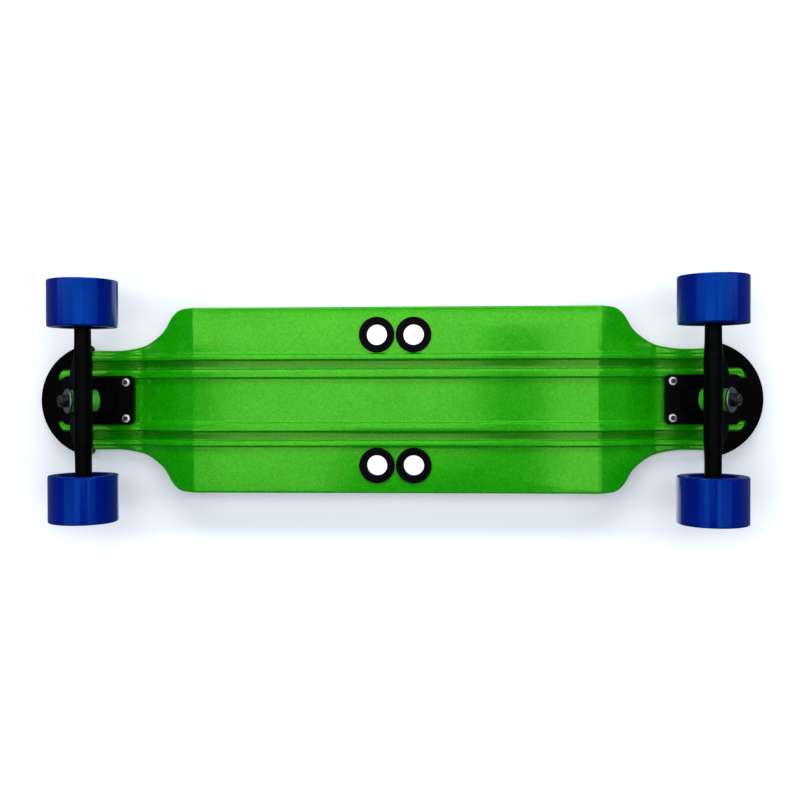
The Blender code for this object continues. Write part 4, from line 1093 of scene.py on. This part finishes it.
# moulded hub: bearing seats both sides, rim with eight shallow pockets outboard
hub = [(11.6 * MM, b_in - hw - 0.9 * MM), (15.2 * MM, b_in - hw - 0.9 * MM), (17.0 * MM, b_in - hw + 0.2 * MM),
       (17.0 * MM, b_out + hw + 0.4 * MM), (15.4 * MM, b_out + hw + 1.5 * MM), (11.6 * MM, b_out + hw + 1.5 * MM),
       (seat_r, b_out + hw + 0.9 * MM), (seat_r, b_out - hw), (8.6 * MM, b_out - hw), (8.6 * MM, b_in + hw), (seat_r, b_in + hw),
       (seat_r, b_in - hw - 0.5 * MM)]
hub = fillet(hub, 0.35 * MM, 3)
hub0 = to_object("wheel_hub", lathe(hub, 96), "core", frame_to((0, 1, 0)))
pockets = []
for i in range(8):
    a = 2 * pi * (i + 0.5) / 8
    pockets.append((cylinder(1.35 * MM, b_out + hw + 0.7 * MM, b_out + hw + 3 * MM, 24),
                    frame_to((0, 1, 0)) @ Matrix.Translation((13.5 * MM * cos(a), 13.5 * MM * sin(a), 0))))
cut_many(hub0, pockets)
with_mat(hub0, "core")

# bearing: two races, a ball cage shield set back between them
bh = BEARING_W / 2
outer_race = fillet([(8.9 * MM, -bh), (BEARING_R, -bh), (BEARING_R, bh), (8.9 * MM, bh), (9.2 * MM, bh - 0.6 * MM),
                     (9.2 * MM, -bh + 0.6 * MM)], [0.25 * MM, 0.5 * MM, 0.5 * MM, 0.25 * MM, 0.1 * MM, 0.1 * MM], 3)
inner_race = fillet([(AXLE_R + 0.06 * MM, -bh), (6.1 * MM, -bh), (5.9 * MM, -bh + 0.6 * MM), (5.9 * MM, bh - 0.6 * MM),
                     (6.1 * MM, bh), (AXLE_R + 0.06 * MM, bh)], [0.4 * MM, 0.2 * MM, 0.1 * MM, 0.1 * MM, 0.2 * MM, 0.4 * MM], 3)
shield = fillet([(6.15 * MM, -bh + 0.75 * MM), (6.9 * MM, -bh + 0.45 * MM), (8.4 * MM, -bh + 0.45 * MM), (9.15 * MM, -bh + 0.7 * MM),
                 (9.15 * MM, bh - 0.7 * MM), (8.4 * MM, bh - 0.45 * MM), (6.9 * MM, bh - 0.45 * MM), (6.15 * MM, bh - 0.75 * MM)],
                0.3 * MM, 3)
bearing_bm = bmesh.new()
for prof_b in (outer_race, inner_race, shield):
    t = lathe(prof_b, 72)
    bmesh.ops.recalc_face_normals(t, faces=t.faces)
    me = bpy.data.meshes.new("t")
    t.to_mesh(me)
    t.free()
    bearing_bm.from_mesh(me)
    bpy.data.meshes.remove(me)
bearing0 = to_object("bearing", bearing_bm, "steel", frame_to((0, 1, 0)), recalc=False)
bearing0.data.materials.append(MAT["shield"])
for p in bearing0.data.polygons:
    r_c = sqrt(p.center.x ** 2 + p.center.z ** 2)
    if 6.12 * MM < r_c < 9.16 * MM and abs(p.center.y) < bh - 0.3 * MM and all(
            6.1 * MM < sqrt(bearing0.data.vertices[v].co.x ** 2 + bearing0.data.vertices[v].co.z ** 2) < 9.17 * MM
            for v in p.vertices):
        p.material_index = 1


# ================================================================== assembly
def piece(src, name, matrix, body, slot, *nodes):
    ob = copy_to(src, name, matrix)
    if nodes:
        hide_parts(*nodes)
    if body:
        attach(ob, body)
    return ob


KING_M = along_king(0)
for end, s in (("front", 1), ("rear", -1)):
    T = Matrix.Translation((s * WHEELBASE_HALF, 0, WHEEL_R))
    if s < 0:
        T = T @ Matrix.Rotation(pi, 4, "Z")
    hb = end + "_hanger"
    piece(base0, end + "_baseplate_casting", T, "deck", "truck_paint", end + "_baseplate")
    piece(pad0, end + "_riser", T, "deck", "black_rubber", end + "_riser_pad")
    piece(king0, end + "_kingpin_bolt", T @ KING_M, "deck", "black_steel", end + "_kingpin")
    piece(washer0, end + "_dished_washer", T @ KING_M, "deck", "steel", end + "_cup_washer")
    piece(knut0, end + "_kingpin_locknut", T @ KING_M, "deck", "steel", end + "_kingpin_nut")
    piece(knylon0, end + "_kingpin_nylon", T @ KING_M, "deck", "cup_plastic")
    for src, nm, t_a, t_b in ((bush_board0, "_bushing_board", -16.0, -3.8), (bush_road0, "_bushing_road", 16.0, 3.8)):
        ob = piece(src, end + nm + "_urethane", T @ KING_M, None, "bushing_urethane", end + nm)
        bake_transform(ob)
    i = 0
    for bx in (BOLT_IN, BOLT_IN + BOLT_SPACING):
        for side in (1, -1):
            i += 1
            piece(bolt0, "%s_deck_bolt_%d" % (end, i),
                  T @ Matrix.Translation((bx, side * BOLT_Y, GRIP_TOP - 0.2 * MM - WHEEL_R)) @ Matrix.Rotation(0.4 * i, 4, "Z"),
                  "deck", "black_steel", "%s_bolt_%d" % (end, i))
            piece(bnut0, "%s_deck_nut_%d" % (end, i),
                  T @ Matrix.Translation((bx, side * BOLT_Y, BASE_LO - 0.05 * MM)) @ Matrix.Rotation(pi, 4, "X")
                  @ Matrix.Rotation(0.37 * i, 4, "Z"), "deck", "steel", "%s_bolt_nut_%d" % (end, i))
    piece(hanger0, end + "_hanger_casting", T, hb, "truck_paint", end + "_hanger")
    piece(axle0, end + "_axle_rod", T, hb, "steel", end + "_axle")
    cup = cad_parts[end + "_pivot_cup"]
    cup.data.materials.clear()
    cup.data.materials.append(MAT["cup"])
    for hand, side in (("left", 1), ("right", -1)):
        wb = "%s_%s_wheel" % (end, hand)
        lab = "%s_%s" % (end, hand)
        F = Matrix.Translation((s * WHEELBASE_HALF, 0, WHEEL_R))
        F = F @ (Matrix.Identity(4) if side > 0 else Matrix.Rotation(pi, 4, "Z"))
        M = F @ Matrix.Translation((0, WHEEL_Y, 0)) @ Matrix.Rotation(0.7 * s + 0.3 * side, 4, "Y")
        piece(tyre0, lab + "_tyre", M, wb, "wheel_urethane", wb)
        piece(hub0, lab + "_hub", M, wb, "wheel_urethane")
        for nm, y in (("inner", BEARING_IN_Y), ("outer", BEARING_OUT_Y)):
            piece(bearing0, "%s_bearing_%s_races" % (lab, nm), F @ Matrix.Translation((0, y, 0)), wb, "steel",
                  "%s_%s_bearing_%s" % (end, hand, nm))
        up = frame_to((0, 1, 0))
        piece(anut0, lab + "_axle_locknut", F @ Matrix.Translation((0, 116.9 * MM, 0)) @ up @ Matrix.Rotation(0.5 * s, 4, "Z"),
              hb, "steel", "%s_%s_axle_nut" % (end, hand))
        piece(speed0, lab + "_washer_inner", F @ Matrix.Translation((0, 90.25 * MM, 0)) @ up, hb, "steel")
        piece(speed0, lab + "_washer_outer", F @ Matrix.Translation((0, 115.75 * MM, 0)) @ up, hb, "steel")

for src in (base0, hanger0, king0, bush_board0, bush_road0, washer0, knut0, knylon0, bolt0, bnut0, axle0, anut0, speed0, pad0,
            tyre0, hub0, bearing0):
    bpy.data.objects.remove(src)


# ================================================================== stage, light, camera
def stage_plane(name, z, facing, colour, glow, painted_light=False, rough=0.9):
    """A large pale plane seen from one side only, so that it never hides the board from behind."""
    bm = bmesh.new()
    n = 12
    half = 4.0
    grid = [[bm.verts.new((-half + 2 * half * i / n, -half + 2 * half * j / n, z)) for j in range(n + 1)] for i in range(n + 1)]
    for i in range(n):
        for j in range(n):
            f = [grid[i][j], grid[i + 1][j], grid[i + 1][j + 1], grid[i][j + 1]]
            bm.faces.new(f if facing > 0 else list(reversed(f)))
    me = bpy.data.meshes.new(name)
    bm.to_mesh(me)
    bm.free()
    ob = bpy.data.objects.new(name, me)
    SCENE.collection.objects.link(ob)
    m = bpy.data.materials.new(name)
    m.use_nodes = True
    nt = m.node_tree
    b = nt.nodes["Principled BSDF"]
    out = nt.nodes["Material Output"]
    co = nt.nodes.new("ShaderNodeTexCoord")
    c = ramp(nt, noise(nt, co.outputs["Object"], 3.0, 3, 0.5), [(0.3, rgb(colour)), (0.7, rgb([min(1, x * 1.02) for x in colour]))])
    nt.links.new(c, b.inputs["Base Color"])
    b.inputs["Roughness"].default_value = rough
    b.inputs["Specular IOR Level"].default_value = 0.1
    b.inputs["Emission Color"].default_value = (glow[0], glow[1], glow[2], 1)
    b.inputs["Emission Strength"].default_value = glow[3]
    if painted_light:
        # painted light and shade in the emission: the backdrop glows more strongly away from the board and behind its
        # four holes (painted light) and less beside the necks (painted shade)
        sx = nt.nodes.new("ShaderNodeSeparateXYZ")
        nt.links.new(co.outputs["Object"], sx.inputs["Vector"])

        def step(out_socket, lo, hi, a, b_):
            ab = nt.nodes.new("ShaderNodeMath")
            ab.operation = "ABSOLUTE"
            nt.links.new(out_socket, ab.inputs[0])
            return remap(nt, ab.outputs[0], lo, hi, a, b_)

        far = step(sx.outputs["Y"], 0.15, 0.22, 0.0, 0.55)
        side = step(sx.outputs["X"], 0.40, 0.47, 0.0, 0.35)
        inside_x = step(sx.outputs["X"], 0.050, 0.070, 0.72, 0.0)
        inside_y = step(sx.outputs["Y"], 0.092, 0.100, 1.0, 0.0)
        near = nt.nodes.new("ShaderNodeMath")
        near.operation = "MULTIPLY_ADD"
        nt.links.new(inside_x, near.inputs[0])
        nt.links.new(inside_y, near.inputs[1])
        nt.links.new(far, near.inputs[2])
        neck_x = step(sx.outputs["X"], 0.19, 0.25, 0.0, -0.13)
        neck_y = step(sx.outputs["Y"], 0.10, 0.16, 1.0, 0.0)
        neck = nt.nodes.new("ShaderNodeMath")
        neck.operation = "MULTIPLY_ADD"
        nt.links.new(neck_x, neck.inputs[0])
        nt.links.new(neck_y, neck.inputs[1])
        nt.links.new(side, neck.inputs[2])
        tot = nt.nodes.new("ShaderNodeMath")
        nt.links.new(near.outputs[0], tot.inputs[0])
        nt.links.new(neck.outputs[0], tot.inputs[1])
        tot2 = nt.nodes.new("ShaderNodeMath")
        tot2.inputs[1].default_value = glow[3]
        nt.links.new(tot.outputs[0], tot2.inputs[0])
        nt.links.new(tot2.outputs[0], b.inputs["Emission Strength"])
    geo = nt.nodes.new("ShaderNodeNewGeometry")
    tr = nt.nodes.new("ShaderNodeBsdfTransparent")
    mx = nt.nodes.new("ShaderNodeMixShader")
    nt.links.new(geo.outputs["Backfacing"], mx.inputs["Fac"])
    nt.links.new(b.outputs["BSDF"], mx.inputs[1])
    nt.links.new(tr.outputs["BSDF"], mx.inputs[2])
    nt.links.new(mx.outputs["Shader"], out.inputs["Surface"])
    me.materials.append(m)
    ob.visible_diffuse = False
    ob.visible_glossy = False
    ob.visible_transmission = False
    ob.visible_shadow = False
    return ob


# backdrop with painted light and painted shade in its emission pattern
stage_plane("backdrop", 0.1128, -1, (0.80, 0.80, 0.80), (0.86, 0.93, 1.0, 0.36), True)
stage_plane("floor", -0.0002, 1, (0.82, 0.82, 0.82), (1.0, 1.0, 1.0, 0.0))


def soft_box(name, x0, x1, y0, y1, z, radiance, up, tint=(1, 1, 1)):
    """A rectangular soft light in a level plane, shining up or down."""
    w, h = x1 - x0, y1 - y0
    d = bpy.data.lights.new(name, "AREA")
    d.shape = "RECTANGLE"
    d.size = w
    d.size_y = h
    d.energy = radiance * pi * w * h
    d.color = tint
    ob = bpy.data.objects.new(name, d)
    ob.location = ((x0 + x1) / 2, (y0 + y1) / 2, z)
    if up:
        ob.rotation_euler = (pi, 0, 0)
    ob.visible_camera = False
    SCENE.collection.objects.link(ob)
    return ob


# below: panels beside the camera; the gaps between them read as darker bands in the paint
PANEL_Z = -1.02
for nm, x0, x1, y0, y1, rad in (
        ("key_wide", -0.500, 0.156, -0.380, -0.130, 2.3), ("key_wide_gap", 0.156, 0.313, -0.380, -0.152, 2.2),
        ("key_wide_right", 0.313, 0.520, -0.380, -0.130, 2.3), ("key_mid", -0.500, 0.156, -0.130, 0.127, 1.9),
        ("key_right", 0.313, 0.520, -0.130, 0.450, 1.9), ("key_low", -0.500, -0.190, 0.127, 0.450, 1.6),
        ("wing_left", -1.350, -0.500, -0.450, -0.130, 2.2), ("wing_left_far", -2.400, -1.350, -0.700, -0.310, 2.2),
        ("wing_right", 0.520, 1.350, -0.450, -0.130, 2.2), ("wing_right_far", 1.350, 2.400, -0.700, -0.310, 2.2),
        ("wing_low_left", -1.350, -0.500, 0.130, 0.450, 1.2), ("wing_low_right", 0.520, 1.350, 0.130, 0.450, 1.2)):
    soft_box(nm, x0, x1, y0, y1, PANEL_Z, rad, True)
# a raking panel from one long side models the ridges
rake_d = bpy.data.lights.new("rake", "AREA")
rake_d.shape = "RECTANGLE"
rake_d.size = 2.4
rake_d.size_y = 0.6
rake_d.energy = 6.6 * pi * 2.4 * 0.6
rake = bpy.data.objects.new("rake", rake_d)
rake.location = (0.0, -1.62, -0.92)
aim = Vector((0, 0, 0.09)) - Vector(rake.location)
rake.rotation_euler = aim.to_track_quat("-Z", "Y").to_euler()
rake.visible_camera = False
SCENE.collection.objects.link(rake)
# above: two large panels for the standing side
soft_box("top_left", -1.5, 0.3, -0.2, 1.4, 1.9, 1.2, False)
soft_box("top_right", 0.3, 1.6, -1.5, -0.1, 1.6, 1.0, False)

world = bpy.data.worlds.new("studio")
SCENE.world = world
world.use_nodes = True
wt = world.node_tree
bg = wt.nodes["Background"]
bg.inputs["Color"].default_value = (0.60, 0.78, 1.0, 1)
bg.inputs["Strength"].default_value = 0.24
seen = wt.nodes.new("ShaderNodeBackground")
seen.inputs["Color"].default_value = (0.90, 0.90, 0.91, 1)
seen.inputs["Strength"].default_value = 1.0
lp = wt.nodes.new("ShaderNodeLightPath")
ms = wt.nodes.new("ShaderNodeMixShader")
wt.links.new(lp.outputs["Is Camera Ray"], ms.inputs["Fac"])
wt.links.new(bg.outputs["Background"], ms.inputs[1])
wt.links.new(seen.outputs["Background"], ms.inputs[2])
wt.links.new(ms.outputs["Shader"], wt.nodes["World Output"].inputs["Surface"])

SCENE.view_settings.view_transform = "Standard"
SCENE.view_settings.look = "None"
SCENE.view_settings.exposure = 0.0
SCENE.view_settings.gamma = 1.0

# camera under the board, looking up; the board's length runs across the picture
YAW, PITCH, ROLL = 0.0473, 0.0145, -0.0024
CX, CY, DIST, FOCAL = -7.2056, 0.7088, 1047.35, 973.37
c, s = cos(YAW), sin(YAW)
ry = Matrix(((c, 0, s), (0, 1, 0), (-s, 0, c)))
c, s = cos(PITCH), sin(PITCH)
rx = Matrix(((1, 0, 0), (0, c, -s), (0, s, c)))
c, s = cos(ROLL), sin(ROLL)
rz = Matrix(((c, -s, 0), (s, c, 0), (0, 0, 1)))
R = rz @ rx @ ry
Rt = R.transposed()
cam_d = bpy.data.cameras.new("camera")
cam_d.sensor_width = 36.0
cam_d.sensor_fit = "HORIZONTAL"
cam_d.lens = FOCAL / 800.0 * 36.0
cam_d.clip_start = 0.05
cam_d.clip_end = 50.0
cam = bpy.data.objects.new("camera", cam_d)
loc = Vector((0, 0, WHEEL_R)) - Rt @ Vector((CX, CY, DIST)) * MM
ex, ey, ez = Rt @ Vector((1, 0, 0)), Rt @ Vector((0, 1, 0)), Rt @ Vector((0, 0, 1))
rot = Matrix((ex, -ey, -ez)).transposed().to_4x4()
cam.matrix_world = Matrix.Translation(loc) @ rot
SCENE.collection.objects.link(cam)
SCENE.camera = cam

bpy.context.view_layer.update()
